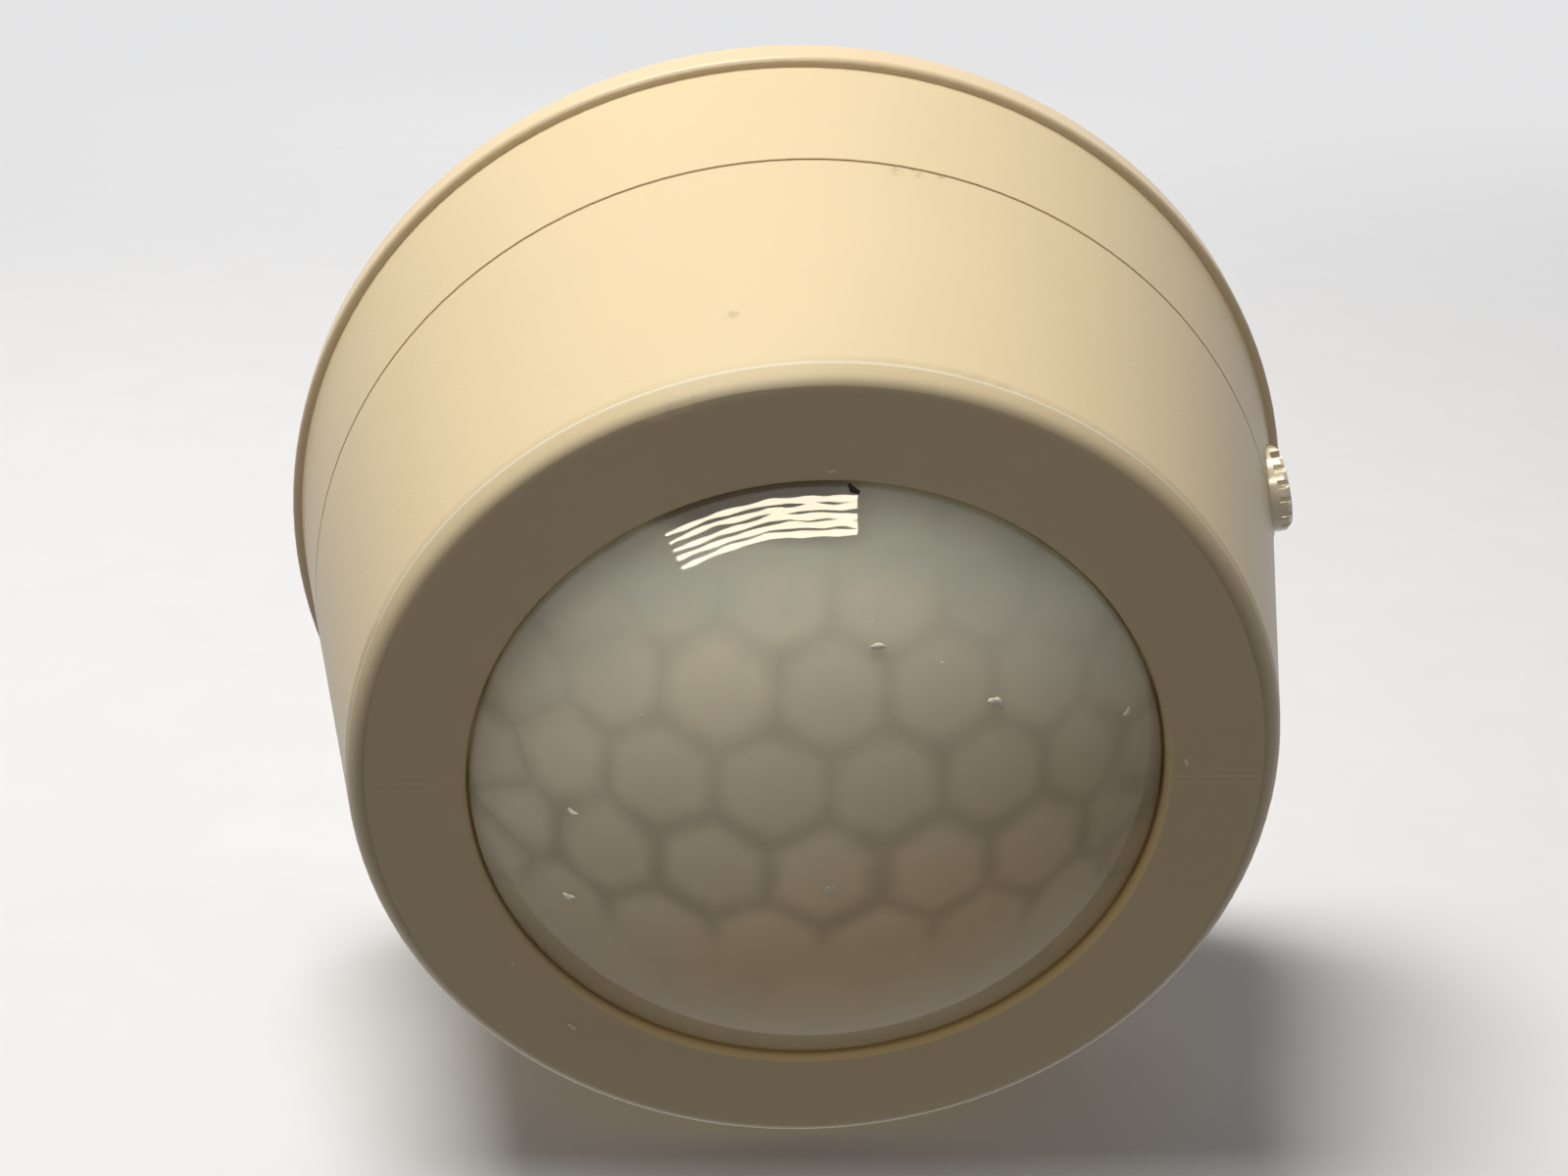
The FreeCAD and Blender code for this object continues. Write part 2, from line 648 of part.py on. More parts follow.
def lens_hollow():
    """The hollow of the lens: a column that ends in one flat facet for each cell."""
    start = FreeCAD.Vector(0, 0, value(FACE) - value("lens_rise"))
    end = value(FLANGE_BACK) + value("flange_thickness")
    hollow = Part.makeCylinder(value(LENS_RADIUS) - value("lens_wall"), end - start.z, start)
    for way, turn in cell_middles():
        hollow = hollow.cut(beyond_facet(way, turn))
    return hollow


def cell_middles():
    """The way of each cell's middle along the dome from its top, and its turn round it.

    Whole cells lie on a triangular lattice, and a ring of short cells fills the edge."""
    middles = []
    rings = count("cell_rings")
    for row in range(-rings, rings + 1):
        for step in range(-rings, rings + 1):
            if abs(row + step) <= rings:
                across = (step + row / 2) * value("cell_pitch")
                along = row * math.sqrt(0.75) * value("cell_pitch")
                middles.append((math.hypot(across, along), math.atan2(along, across)))
    petals = count("petal_count")
    for number in range(petals):
        middles.append((value("petal_place"), 2 * math.pi * (number + 0.5) / petals))
    return middles


def beyond_facet(way, turn):
    """All that lies outside the flat inner face of one cell, as a broad disc."""
    tilt = way / value(DOME_RADIUS)
    out = FreeCAD.Vector(math.sin(tilt) * math.cos(turn), math.sin(tilt) * math.sin(turn), -math.cos(tilt))
    top = FreeCAD.Vector(0, 0, value(DOME_CENTRE))
    middle = top + out * (value(DOME_RADIUS) - value("lens_wall"))
    return Part.makeCylinder(2 * value(LIP_RADIUS), value(LIP_RADIUS), middle, out)


def lens_retainer():
    """Flat ring behind the lens flange, screwed to the bosses of the ring face."""
    body = new_body("lens_retainer")
    inside = f"({LENS_RADIUS} - lens_wall + retainer_step)"
    outside = f"({WALL_AT_FACE} - retainer_gap)"
    revolve(body, "retainer_ring", [
        (inside, FLANGE_BACK),
        (outside, FLANGE_BACK),
        (outside, RETAINER_BACK),
        (inside, RETAINER_BACK),
    ])
    x, y, _ = ring_places("retainer_screw_count", RETAINER_SCREWS, "retainer_screw_start", "0")[0]
    depth = "2 * retainer_thickness"
    hole = sink_circle(body, "retainer_hole", x, y, "screw_radius + screw_play", RETAINER_BACK, depth)
    repeat_round(body, "retainer_holes", [hole], "retainer_screw_count")
    return body


# Screws

def small_screw():
    """Pan head screw: the underside of its head is at the origin, its shank points down."""
    head = make_cylinder("screw_head_disc", "screw_head", "screw_head_height")
    shank = make_cylinder("screw_shank", "screw_radius", "screw_length", z="-screw_length")
    slot = make_box("screw_driver_slot", "3 * screw_head", "screw_slot", "screw_head_height",
                    z="screw_head_height / 2")
    return cut("small_screw", join("screw_blank", head, shank), slot)


def all_screws(screw):
    """The screws of the lens ring, of the main board and of the spacers."""
    lens_screws = ring_places("retainer_screw_count", RETAINER_SCREWS, "retainer_screw_start", RETAINER_BACK)
    board_screws = ring_places("board_screw_count", BOARD_SCREWS, "board_screw_start", BOARD_BACK)
    upper = ring_places("spacer_count", "spacer_place", "spacer_start", BOARD_BACK)
    lower = ring_places("spacer_count", "spacer_place", "spacer_start", SENSOR_FRONT)
    total = len(upper)
    return [
        group("retainer_screws", screw, lens_screws),
        group("main_board_screws", screw, board_screws),
        group("spacer_screws", screw, upper + lower, turned=range(total, 2 * total)),
    ]


# The boards and what they carry

def round_board(label, radius, height, holes):
    """A round circuit board with plain holes."""
    disc = make_cylinder(label + "_disc", radius, "board_thickness", z=height)
    drills = []
    for number, (x, y, z) in enumerate(holes):
        name = f"{label}_drill_{number}"
        drills.append(make_cylinder(name, "screw_radius + screw_play", "3 * board_thickness",
                                    x, y, f"{z} - board_thickness"))
    return cut(label, disc, join(label + "_drills", *drills))


def boards():
    """Main board on the housing's bosses, and the sensor board that hangs below it."""
    outer = ring_places("board_screw_count", BOARD_SCREWS, "board_screw_start", BOARD_FRONT)
    inner = ring_places("spacer_count", "spacer_place", "spacer_start", BOARD_FRONT)
    lower = ring_places("spacer_count", "spacer_place", "spacer_start", SENSOR_FRONT)
    return [
        round_board("main_board", BOARD_RADIUS, BOARD_FRONT, outer + inner),
        round_board("sensor_board", "sensor_board_radius", SENSOR_FRONT, lower),
    ]


def board_spacers():
    """Threaded sleeves between the two boards."""
    sleeve = make_cylinder("spacer_sleeve", "spacer_radius", "spacer_height")
    bore = make_cylinder("spacer_bore", "screw_radius + screw_fit", "2 * spacer_height",
                         z="-spacer_height / 2")
    spacer = cut("spacer", sleeve, bore)
    places = ring_places("spacer_count", "spacer_place", "spacer_start", SENSOR_BACK)
    return group("board_spacers", spacer, places)


def board_connector():
    """Plug and socket that join the boards, seen as one block."""
    block = make_box("board_connector", "connector_length", "connector_width", "spacer_height",
                     "0", "-connector_place", SENSOR_BACK)
    return block


def detector_can():
    """Deep drawn metal can of the heat detector, open where its window sits."""
    rim = f"({SENSOR_FRONT} - can_flange_height)"
    end = f"({SENSOR_FRONT} - can_height)"
    body = new_body("detector_can_shell")
    revolve(body, "can_shell", [
        ("can_flange", SENSOR_FRONT),
        ("can_flange", rim),
        ("can_radius", rim),
        ("can_radius", end),
        ("0", end),
        ("0", f"{end} + can_wall"),
        ("can_radius - can_wall", f"{end} + can_wall"),
        ("can_radius - can_wall", SENSOR_FRONT),
    ])
    opening = make_box("can_opening", "window_length", "window_width", "3 * can_wall", z=f"{end} - can_wall")
    return cut("detector_can", body, opening)


def detector_window():
    """Dark filter pane that fills the opening of the can."""
    end = f"({SENSOR_FRONT} - can_height)"
    return make_box("detector_window", "window_length", "window_width", "can_wall", z=end)


def photocell():
    """Light cell that tells day from night."""
    x = "photocell_place * cos(photocell_angle)"
    y = "photocell_place * sin(photocell_angle)"
    height = f"{SENSOR_FRONT} - photocell_height"
    return make_cylinder("photocell", "photocell_radius", "photocell_height", x, y, height)


def indicator_lamp():
    """Small lamp that blinks behind the lens when it sees movement."""
    tip = f"({SENSOR_FRONT} - lamp_height)"
    stem = make_cylinder("lamp_stem", "lamp_radius", "lamp_height", "0", "lamp_place", tip)
    dome = make_ball("lamp_dome", "lamp_radius", "0", "lamp_place", tip)
    return join("indicator_lamp", stem, dome)


def chip(label, length, x, y, floor):
    """Chip package with a row of legs on each long side."""
    legs = [make_box(label + "_case", length, "chip_width", "chip_height", x, y, floor)]
    for row, sign in (("near", "-"), ("far", "+")):
        for number in range(count("chip_leg_count")):
            along = f"{x} + ({number} - (chip_leg_count - 1) / 2) * {length} / chip_leg_count"
            aside = f"{y} {sign} chip_width / 2"
            legs.append(make_box(f"{label}_{row}_leg_{number}", "chip_leg_width", "2 * chip_leg_reach",
                                 "chip_height / 2", along, aside, floor))
    return join(label, *legs)


def side_adjuster():
    """Block with a bush on the main board, its shaft, and the knob in the housing's side."""
    front = f"({BOARD_RADIUS} - block_margin)"
    back = f"({front} - block_depth)"
    tall = f"(-knob_place + block_width / 2 - {BOARD_BACK})"
    case = make_box("adjuster_case", "block_depth", "block_width", tall,
                    f"{back} + block_depth / 2", "0", BOARD_BACK)
    bush = make_level_cylinder("adjuster_bush", "bush_radius", "bush_length", front, "0", "-knob_place")
    seat = f"({front} - shaft_seat)"
    bore = make_level_cylinder("adjuster_bore", "shaft_radius + shaft_play", "shaft_seat + 2 * bush_length",
                               seat, "0", "-knob_place")
    block = cut("adjuster_block", join("adjuster_solid", case, bush), bore)
    end = f"({KNOB_FACE} - knob_thickness + knob_socket)"
    start = f"({seat} + shaft_play)"
    shaft = make_level_cylinder("adjuster_shaft_rod", "shaft_radius", f"{end} - {start}",
                                start, "0", "-knob_place")
    return [
        swing("adjuster_block", block),
        swing("adjuster_shaft", shaft),
        swing("adjuster_knob", knob()),
    ]


def swing(label, thing):
    """Turns a piece that was made along +X to the knob's place round the housing."""
    if thing.Label == label:
        thing.Label = label + "_square"
    turned = doc.addObject("Part::Compound", label + "_turned")
    turned.Links = [thing]
    turned.Label = label
    turned.Placement.Rotation = FreeCAD.Rotation(FreeCAD.Vector(0, 0, -1), value("knob_angle"))
    turned.setExpression("Placement.Rotation.Angle", cell("knob_angle"))
    return turned


def knob():
    """Round knob with a driver slot, a bevelled edge and grip notches."""
    body = new_body("knob_blank")
    front = KNOB_FACE
    back = f"({KNOB_FACE} - knob_thickness)"
    sketch = draw_outline(new_sketch(body, "knob_outline", "XZ_Plane"), [
        (back, "-knob_place + shaft_radius + shaft_play"),
        (back, "-knob_place + knob_radius"),
        (f"{front} - knob_chamfer", "-knob_place + knob_radius"),
        (front, "-knob_place + knob_radius - knob_chamfer"),
        (front, "-knob_place"),
        (f"{back} + knob_socket", "-knob_place"),
        (f"{back} + knob_socket", "-knob_place + shaft_radius + shaft_play"),
    ])
    # The knob's own axis is the edge of its outline that lies on the shaft's line.
    turn = body.newObject("PartDesign::Revolution", "knob_turn")
    turn.Profile = sketch
    turn.ReferenceAxis = (sketch, ["Edge5"])
    turn.Angle = 360
    doc.recompute()
    slot = make_box("knob_slot", "2 * knob_slot_depth", "4 * knob_radius", "knob_slot_width",
                    front, "0", "-knob_place - knob_slot_width / 2")
    notches = [slot]
    for number in range(count("knob_notch_count")):
        angle = f"(({number} + 0.5) * 360 / knob_notch_count)"
        y = f"knob_radius * cos{angle}"
        z = f"-knob_place + knob_radius * sin{angle}"
        start = f"{front} - knob_proud"
        notches.append(make_level_cylinder(f"knob_notch_{number}", "knob_notch_radius",
                                           "2 * knob_proud", start, y, z))
    return cut("knob_cut", body, join("knob_notches", *notches))


def trimmer(label, x, y):
    """Trimmer: a square body with a round seat, and the slotted rotor that turns in it."""
    top = f"({BOARD_BACK} + trimmer_height)"
    seat = f"({top} - rotor_sink)"
    case = make_box(label + "_case", "trimmer_side", "trimmer_side", "trimmer_height", x, y, BOARD_BACK)
    well = make_cylinder(label + "_well", "rotor_radius + rotor_play", "2 * rotor_sink", x, y, seat)
    disc = make_cylinder(label + "_disc", "rotor_radius", "rotor_height", x, y, seat)
    slot = make_box(label + "_slot", "3 * rotor_radius", "rotor_slot", "2 * rotor_slot",
                    x, y, f"{seat} + rotor_height - rotor_slot")
    return [cut(label + "_body", case, well), cut(label + "_rotor", disc, slot)]


def terminal_block(x, y):
    """Terminal block for the leads, with a screw over each wire opening."""
    length = "(terminal_pitch * terminal_count)"
    top = f"({BOARD_BACK} + terminal_height)"
    case = make_box("terminal_case", length, "terminal_depth", "terminal_height", x, y, BOARD_BACK)
    hollows = []
    spots = []
    for number in range(count("terminal_count")):
        along = f"({x} + ({number} - (terminal_count - 1) / 2) * terminal_pitch)"
        floor = f"({top} - terminal_well)"
        hollows.append(make_cylinder(f"terminal_well_{number}", "terminal_screw + screw_play",
                                     "2 * terminal_well", along, y, floor))
        mouth = f"({y} + terminal_depth / 2 - terminal_mouth_depth / 2)"
        hollows.append(make_box(f"terminal_mouth_{number}", "terminal_mouth", "terminal_mouth_depth",
                                "terminal_mouth", along, mouth, f"{BOARD_BACK} + terminal_mouth / 2"))
        spots.append((along, y, floor))
    head = make_cylinder("terminal_head", "terminal_screw", "terminal_screw_height")
    slot = make_box("terminal_slot", "3 * terminal_screw", "screw_slot", "screw_head_height",
                    z="terminal_screw_height - screw_head_height / 2")
    screw = cut("terminal_screw_pattern", head, slot)
    return [
        cut("terminal_block", case, join("terminal_hollows", *hollows)),
        group("terminal_screws", screw, spots),
    ]


def can_capacitor(label, radius, height, x, y):
    """Round capacitor: an aluminium can with a crimp near its foot."""
    body = new_body(label)
    revolve(body, label + "_can", [
        ("0", "0"),
        (radius, "0"),
        (radius, "crimp_place"),
        (f"{radius} - can_crimp", "crimp_place + can_crimp"),
        (radius, "crimp_place + 2 * can_crimp"),
        (radius, f"{height} - can_crimp"),
        (f"{radius} - can_crimp", height),
        ("0", height),
    ])
    return place(body, x, y, BOARD_BACK)


def power_parts():
    """The tall parts that stand on the back of the main board."""
    relay = make_box("relay_case", "relay_length", "relay_width", "relay_height",
                     "relay_x", edge_place("relay_edge", "relay_width / 2"), BOARD_BACK)
    film = make_box("film_case", "film_length", "film_width", "film_height",
                    "film_x", edge_place("film_edge", "film_width / 2"), BOARD_BACK)
    disc_y = "-" + edge_place("varistor_edge", "varistor_radius")
    disc = make_level_cylinder("varistor", "varistor_radius", "varistor_thickness",
                               "(varistor_x - varistor_thickness / 2)", disc_y,
                               f"{BOARD_BACK} + varistor_radius")
    fuse_y = "-" + edge_place("fuse_edge", "fuse_radius")
    fuse = make_cylinder("fuse", "fuse_radius", "fuse_height", "fuse_x", fuse_y, BOARD_BACK)
    choke = new_body("choke")
    revolve(choke, "choke_turn", [
        ("0", "0"),
        ("choke_radius", "0"),
        ("choke_radius", "choke_flange"),
        ("choke_winding", "choke_flange"),
        ("choke_winding", "choke_height - choke_flange"),
        ("choke_radius", "choke_height - choke_flange"),
        ("choke_radius", "choke_height"),
        ("0", "choke_height"),
    ])
    place(choke, "-" + edge_place("choke_edge", "choke_radius"), "choke_y", BOARD_BACK)
    bridge = make_box("rectifier", "bridge_side", "bridge_side", "bridge_height",
                      "bridge_x", "bridge_y", BOARD_BACK)
    round_case = make_cylinder("regulator_round", "regulator_radius", "regulator_height",
                               "regulator_x", "regulator_y", BOARD_BACK)
    side = make_box("regulator_side", "3 * regulator_radius", "regulator_radius", "2 * regulator_height",
                    "regulator_x", "(regulator_y + regulator_flat + regulator_radius / 2)",
                    f"{BOARD_BACK} - regulator_height / 2")
    return [
        round_uprights("relay", relay, "case_round"),
        round_uprights("film_capacitor", film, "case_round"),
        disc,
        fuse,
        choke,
        bridge,
        cut("voltage_regulator", round_case, side),
        can_capacitor("smoothing_capacitor", "smoothing_radius", "smoothing_height",
                      edge_place("smoothing_edge", "smoothing_radius"), "smoothing_y"),
        can_capacitor("output_capacitor", "output_radius", "output_height",
                      edge_place("output_edge", "output_radius"), "output_y"),
    ]


def axial_parts(label, kind, radius, length):
    """Resistors or diodes in a row on the board, each with a wire that is bent down at both ends."""
    lift = f"({radius} + lead_lift)"
    bend_x = f"({length} / 2 + lead_reach - lead_bend)"
    bend_z = f"({lift} - lead_bend)"
    barrel = make_level_cylinder(label + "_barrel", radius, length, f"-{length} / 2", "0", lift)
    wire = make_level_cylinder(label + "_wire", "lead_radius", f"2 * {bend_x}", f"-{bend_x}", "0", lift)
    pieces = [barrel, wire]
    upright = FreeCAD.Rotation(FreeCAD.Vector(1, 0, 0), 90)
    for side, sign, roll in (("right", "1", 0), ("left", "-1", -90)):
        bend = doc.addObject("Part::Torus", f"{label}_{side}_bend")
        bend.Angle3 = 90
        bend.Placement.Rotation = FreeCAD.Rotation(FreeCAD.Vector(0, 1, 0), roll) * upright
        drive(bend, Radius1="lead_bend", Radius2="lead_radius")
        pieces.append(place(bend, f"{sign} * {bend_x}", "0", bend_z))
        x = f"{sign} * ({length} / 2 + lead_reach)"
        pieces.append(make_cylinder(f"{label}_{side}_leg", "lead_radius", bend_z, x, "0", "0"))
    pattern = join(label + "_pattern", *pieces)
    places = []
    for number in range(count(f"{kind}_count")):
        places.append((f"{kind}_x", f"{kind}_y - {number} * {kind}_pitch", BOARD_BACK))
    return group(label, pattern, places)


# Build, check and write

def build():
    """Makes every piece and returns them in a list."""
    pieces = [mounting_base(), housing(), lens(), lens_retainer()]
    pieces += all_screws(small_screw())
    pieces += boards()
    pieces += [board_spacers(), board_connector(), detector_can(), detector_window()]
    pieces += [photocell(), indicator_lamp()]
    pieces.append(chip("controller_chip", "controller_length", "controller_x", "controller_y", BOARD_BACK))
    pieces.append(chip("amplifier_chip", "amplifier_length", "0", "amplifier_place", SENSOR_BACK))
    pieces += side_adjuster()
    trimmer_x = "-" + edge_place("trimmer_edge", "trimmer_side / 2")
    pieces += trimmer("sensitivity_trimmer", f"({trimmer_x})", "trimmer_y")
    pieces += trimmer("light_trimmer", f"({trimmer_x} + trimmer_pitch)", "trimmer_y")
    pieces += terminal_block("terminal_x", "(-" + edge_place("terminal_edge", "terminal_depth / 2") + ")")
    pieces += power_parts()
    pieces.append(axial_parts("resistors", "resistor", "resistor_radius", "resistor_length"))
    pieces.append(axial_parts("diodes", "diode", "diode_radius", "diode_length"))
    doc.recompute()
    return pieces


def check(pieces):
    """Stops if an object failed, or if a piece has no valid shape."""
    for thing in doc.Objects:
        states = [state for state in thing.State if state in ("Invalid", "Error")]
        if states:
            raise RuntimeError(f"{thing.Name} failed: {thing.getStatusString()}")
    for piece in pieces:
        if piece.Shape.isNull() or not piece.Shape.isValid():
            raise RuntimeError(f"{piece.Label} has no valid shape")


def write(pieces):
    """Writes each piece to its own file."""
    for piece in pieces:
        piece.Shape.exportStep(f"parts/{piece.Label}.step")
        print(f"{piece.Label}: {len(piece.Shape.Solids)} solids, {piece.Shape.Volume:.1f} mm3")


fill_sheet()
made = build()
check(made)
write(made)
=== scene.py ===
import math
import random

import bmesh
import bpy
import numpy as np
from mathutils import Matrix, Vector


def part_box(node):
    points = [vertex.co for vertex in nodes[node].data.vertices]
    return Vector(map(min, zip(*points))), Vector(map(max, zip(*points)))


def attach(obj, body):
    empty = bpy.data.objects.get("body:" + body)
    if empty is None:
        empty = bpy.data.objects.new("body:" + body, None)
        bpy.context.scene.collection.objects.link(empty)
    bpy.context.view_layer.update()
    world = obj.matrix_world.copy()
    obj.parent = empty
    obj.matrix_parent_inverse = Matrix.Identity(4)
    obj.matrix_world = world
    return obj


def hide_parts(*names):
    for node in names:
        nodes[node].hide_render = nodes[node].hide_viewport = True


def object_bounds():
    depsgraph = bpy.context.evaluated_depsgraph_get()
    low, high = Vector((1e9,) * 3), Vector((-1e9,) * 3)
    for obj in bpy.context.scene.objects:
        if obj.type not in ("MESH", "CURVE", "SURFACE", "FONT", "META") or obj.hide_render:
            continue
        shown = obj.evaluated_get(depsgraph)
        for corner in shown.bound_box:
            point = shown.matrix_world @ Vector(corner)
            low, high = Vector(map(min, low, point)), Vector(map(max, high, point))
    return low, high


# The looks of a ceiling occupancy sensor, in the frame of its CAD model: the origin is the
# middle of the mounting face, +Z points up into the ceiling, and the lens looks down. In
# the photograph the sensor lies on its side, on the +Y side of this frame. The sizes of
# its pieces are in millimetres, and MM turns them into metres.

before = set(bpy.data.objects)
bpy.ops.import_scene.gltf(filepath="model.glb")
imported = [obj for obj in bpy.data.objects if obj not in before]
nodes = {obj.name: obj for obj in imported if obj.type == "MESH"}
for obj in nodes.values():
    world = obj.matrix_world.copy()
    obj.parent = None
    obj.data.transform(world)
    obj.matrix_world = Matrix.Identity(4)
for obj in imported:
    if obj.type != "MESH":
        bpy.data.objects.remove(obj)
cad_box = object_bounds()
random.seed(7)
MM = 0.001


# Housing
# One beige moulding: a tapered wall that ends in a rounded edge and a ring face, with a
# fine groove round the wall. The mould left a fine grain, a faint unevenness of colour
# and two knit lines on the ring face, and it has gathered a little dust.

def add(tree, kind, inputs=(), **settings):
    """Adds a shader node. Its inputs are given by name or number, as values or as links."""
    made = tree.nodes.new("ShaderNode" + kind)
    for name, value in settings.items():
        setattr(made, name, value)
    for socket, value in dict(inputs).items():
        if isinstance(value, bpy.types.NodeSocket):
            tree.links.new(value, made.inputs[socket])
        else:
            made.inputs[socket].default_value = value
    return made


def math_node(tree, operation, first, second=0.0, third=0.0):
    """The result of a sum on numbers or links."""
    return add(tree, "Math", {0: first, 1: second, 2: third}, operation=operation).outputs[0]


def blend_colour(tree, share, first, second, how="MIX"):
    """A colour between two colours."""
    made = add(tree, "Mix", {"Factor": share}, data_type="RGBA", blend_type=how)
    for socket, value in ((6, first), (7, second)):
        if isinstance(value, bpy.types.NodeSocket):
            tree.links.new(value, made.inputs[socket])
        else:
            made.inputs[socket].default_value = (*value, 1.0)
    return made.outputs[2]


def steps(tree, value, low, high):
    """A smooth step: 0 at low and 1 at high, whichever of them is the greater."""
    made = add(tree, "MapRange", {"Value": value, "From Min": low, "From Max": high},
               interpolation_type="SMOOTHSTEP")
    return made.outputs["Result"]


def own_place(tree):
    """Where a point of the surface lies, in metres."""
    return add(tree, "TexCoord").outputs["Object"]


def noise(tree, place, scale, detail=2.0, roughness=0.5):
    """A soft random pattern from 0 to 1, with its waves to a metre."""
    return add(tree, "TexNoise", {"Vector": place, "Scale": scale, "Detail": detail,
                                  "Roughness": roughness}).outputs["Fac"]


def off_axis(tree, place):
    """How far a place lies from the Z axis."""
    flat = add(tree, "VectorMath", {0: place, 1: (1.0, 1.0, 0.0)}, operation="MULTIPLY").outputs[0]
    return add(tree, "VectorMath", {0: flat}, operation="LENGTH").outputs["Value"]


def new_group(name, inputs, outputs):
    """An empty shader node group, with its sockets given as (name, kind, default)."""
    tree = bpy.data.node_groups.new(name, "ShaderNodeTree")
    for label, kind, default in inputs:
        socket = tree.interface.new_socket(label, in_out="INPUT", socket_type="NodeSocket" + kind)
        socket.default_value = default
    for label, kind in outputs:
        tree.interface.new_socket(label, in_out="OUTPUT", socket_type="NodeSocket" + kind)
    return tree, tree.nodes.new("NodeGroupInput"), tree.nodes.new("NodeGroupOutput")


CLOUD_SCALE = 45.0
SPECKLE_SCALE = 900.0
SPECKLE_SHARE = 0.35
SPECK_SCALE = 420.0
SPECK_EDGES = (0.075, 0.03)
SPECK_COLOUR = (0.80, 0.76, 0.68)


def moulding_group():
    """Moulded plastic: uneven colour, a fine grain, and a few settled specks."""
    tree, given, out = new_group(
        "moulded_surface",
        [("Colour", "Color", (1, 1, 1, 1)), ("Unevenness", "Float", 0.06), ("Grain Size", "Float", 0.35),
         ("Roughness", "Float", 0.4), ("Roughness Spread", "Float", 0.08), ("Specks", "Float", 0.0)],
        [("Colour", "Color"), ("Roughness", "Float"), ("Height", "Float")])
    place = own_place(tree)
    lift = math_node(tree, "SUBTRACT", noise(tree, place, CLOUD_SCALE, 3.0, 0.55), 0.5)
    speckle = math_node(tree, "SUBTRACT", noise(tree, place, SPECKLE_SCALE, 2.0, 0.6), 0.5)
    drift = math_node(tree, "MULTIPLY_ADD", speckle, SPECKLE_SHARE, lift)
    change = math_node(tree, "MULTIPLY_ADD", drift, given.outputs["Unevenness"], 1.0)
    tint = add(tree, "CombineColor", {0: change, 1: change, 2: change}).outputs[0]
    toned = blend_colour(tree, 1.0, given.outputs["Colour"], tint, "MULTIPLY")
    flakes = add(tree, "TexVoronoi", {"Vector": place, "Scale": SPECK_SCALE, "Randomness": 1.0})
    near = steps(tree, flakes.outputs["Distance"], *SPECK_EDGES)
    settled = math_node(tree, "MULTIPLY", near, given.outputs["Specks"])
    tree.links.new(blend_colour(tree, settled, toned, SPECK_COLOUR), out.inputs["Colour"])
    spread = given.outputs["Roughness Spread"]
    rough = math_node(tree, "MULTIPLY_ADD", lift, spread, given.outputs["Roughness"])
    tree.links.new(rough, out.inputs["Roughness"])
    pitch = math_node(tree, "DIVIDE", 1000.0, given.outputs["Grain Size"])
    height = math_node(tree, "ADD", noise(tree, place, pitch), settled)
    tree.links.new(height, out.inputs["Height"])
    return tree


def use(tree, group, inputs=()):
    """Places a node group in a material."""
    made = tree.nodes.new("ShaderNodeGroup")
    made.node_tree = group
    for socket, value in dict(inputs).items():
        if isinstance(value, bpy.types.NodeSocket):
            tree.links.new(value, made.inputs[socket])
        else:
            made.inputs[socket].default_value = value
    return made


def new_material(name, **settings):
    """A material with a Principled shader, whose plain sockets are set by name."""
    made = bpy.data.materials.new(name)
    made.use_nodes = True
    shader = made.node_tree.nodes["Principled BSDF"]
    for label, value in settings.items():
        shader.inputs[label.replace("_", " ").title().replace("Ior", "IOR")].default_value = value
    return made, made.node_tree, shader


def srgb(red, green, blue):
    """A colour of 0 to 255 steps, as it shows on a screen, in linear light."""
    linear = []
    for step in (red, green, blue):
        part = step / 255
        linear.append(part / 12.92 if part <= 0.04045 else ((part + 0.055) / 1.055) ** 2.4)
    return tuple(linear)


def raise_surface(tree, shader, height, distance, strength=1.0):
    """Lets a height bump the surface by up to a distance."""
    bump = add(tree, "Bump", {"Height": height, "Distance": distance, "Strength": strength})
    tree.links.new(bump.outputs["Normal"], shader.inputs["Normal"])


def paint(tree, shader, colour, rough):
    """Gives a shader its colour and its roughness."""
    tree.links.new(colour, shader.inputs["Base Color"])
    tree.links.new(rough, shader.inputs["Roughness"])


moulded = moulding_group()


def plain_moulding(name, colour, roughness=0.4, grain=0.35, bump=0.00002, unevenness=0.06, specks=0.0,
                   **settings):
    """A moulded plastic of one colour, with its grain size in millimetres."""
    material, tree, shader = new_material(name, **settings)
    look = use(tree, moulded, {"Colour": (*colour, 1.0), "Unevenness": unevenness, "Grain Size": grain,
                               "Roughness": roughness, "Specks": specks})
    paint(tree, shader, look.outputs["Colour"], look.outputs["Roughness"])
    raise_surface(tree, shader, look.outputs["Height"], bump)
    return material


def finish_node(name, material):
    """Gives a CAD node its material."""
    nodes[name].data.materials.clear()
    nodes[name].data.materials.append(material)


def spot(tree, place, middle, reach):
    """A soft round mark on the surface, 1 in its middle, with sizes in millimetres."""
    away = add(tree, "VectorMath", {0: place, 1: Vector(middle) * MM}, operation="DISTANCE")
    return steps(tree, away.outputs["Value"], reach * MM, 0.0)


FACE = -55.6
HOUSING_COLOUR = srgb(226, 207, 168)
HOUSING_ROUGHNESS = 0.30
HOUSING_SHINE = 0.05
KNIT_COLOUR = srgb(236, 222, 196)
KNIT_RIGHT = -1.49
KNIT_LEFT = -1.0
KNIT_EDGES = (0.16, 0.04)
KNIT_SHARE = 0.5
KNIT_HEIGHT = 1.2
MARK_COLOUR = srgb(150, 132, 100)
MARK_SHARE = 0.35
MARK_DEPTH = 1.5
CRUMB_SCALE = 1500.0
CRUMB_EDGES = (0.45, 0.6)
NICK_PLACE = (-8.95, -46.86, -46.33)
NICK_REACH = 1.3
RUB_PLACES = ((7.97, -51.81, -22.83), (10.16, -51.46, -22.67), (12.5, -51.06, -22.12))
RUB_REACH = 1.2
SMEAR_PLACE = (-35.58, 3.52, -55.6)
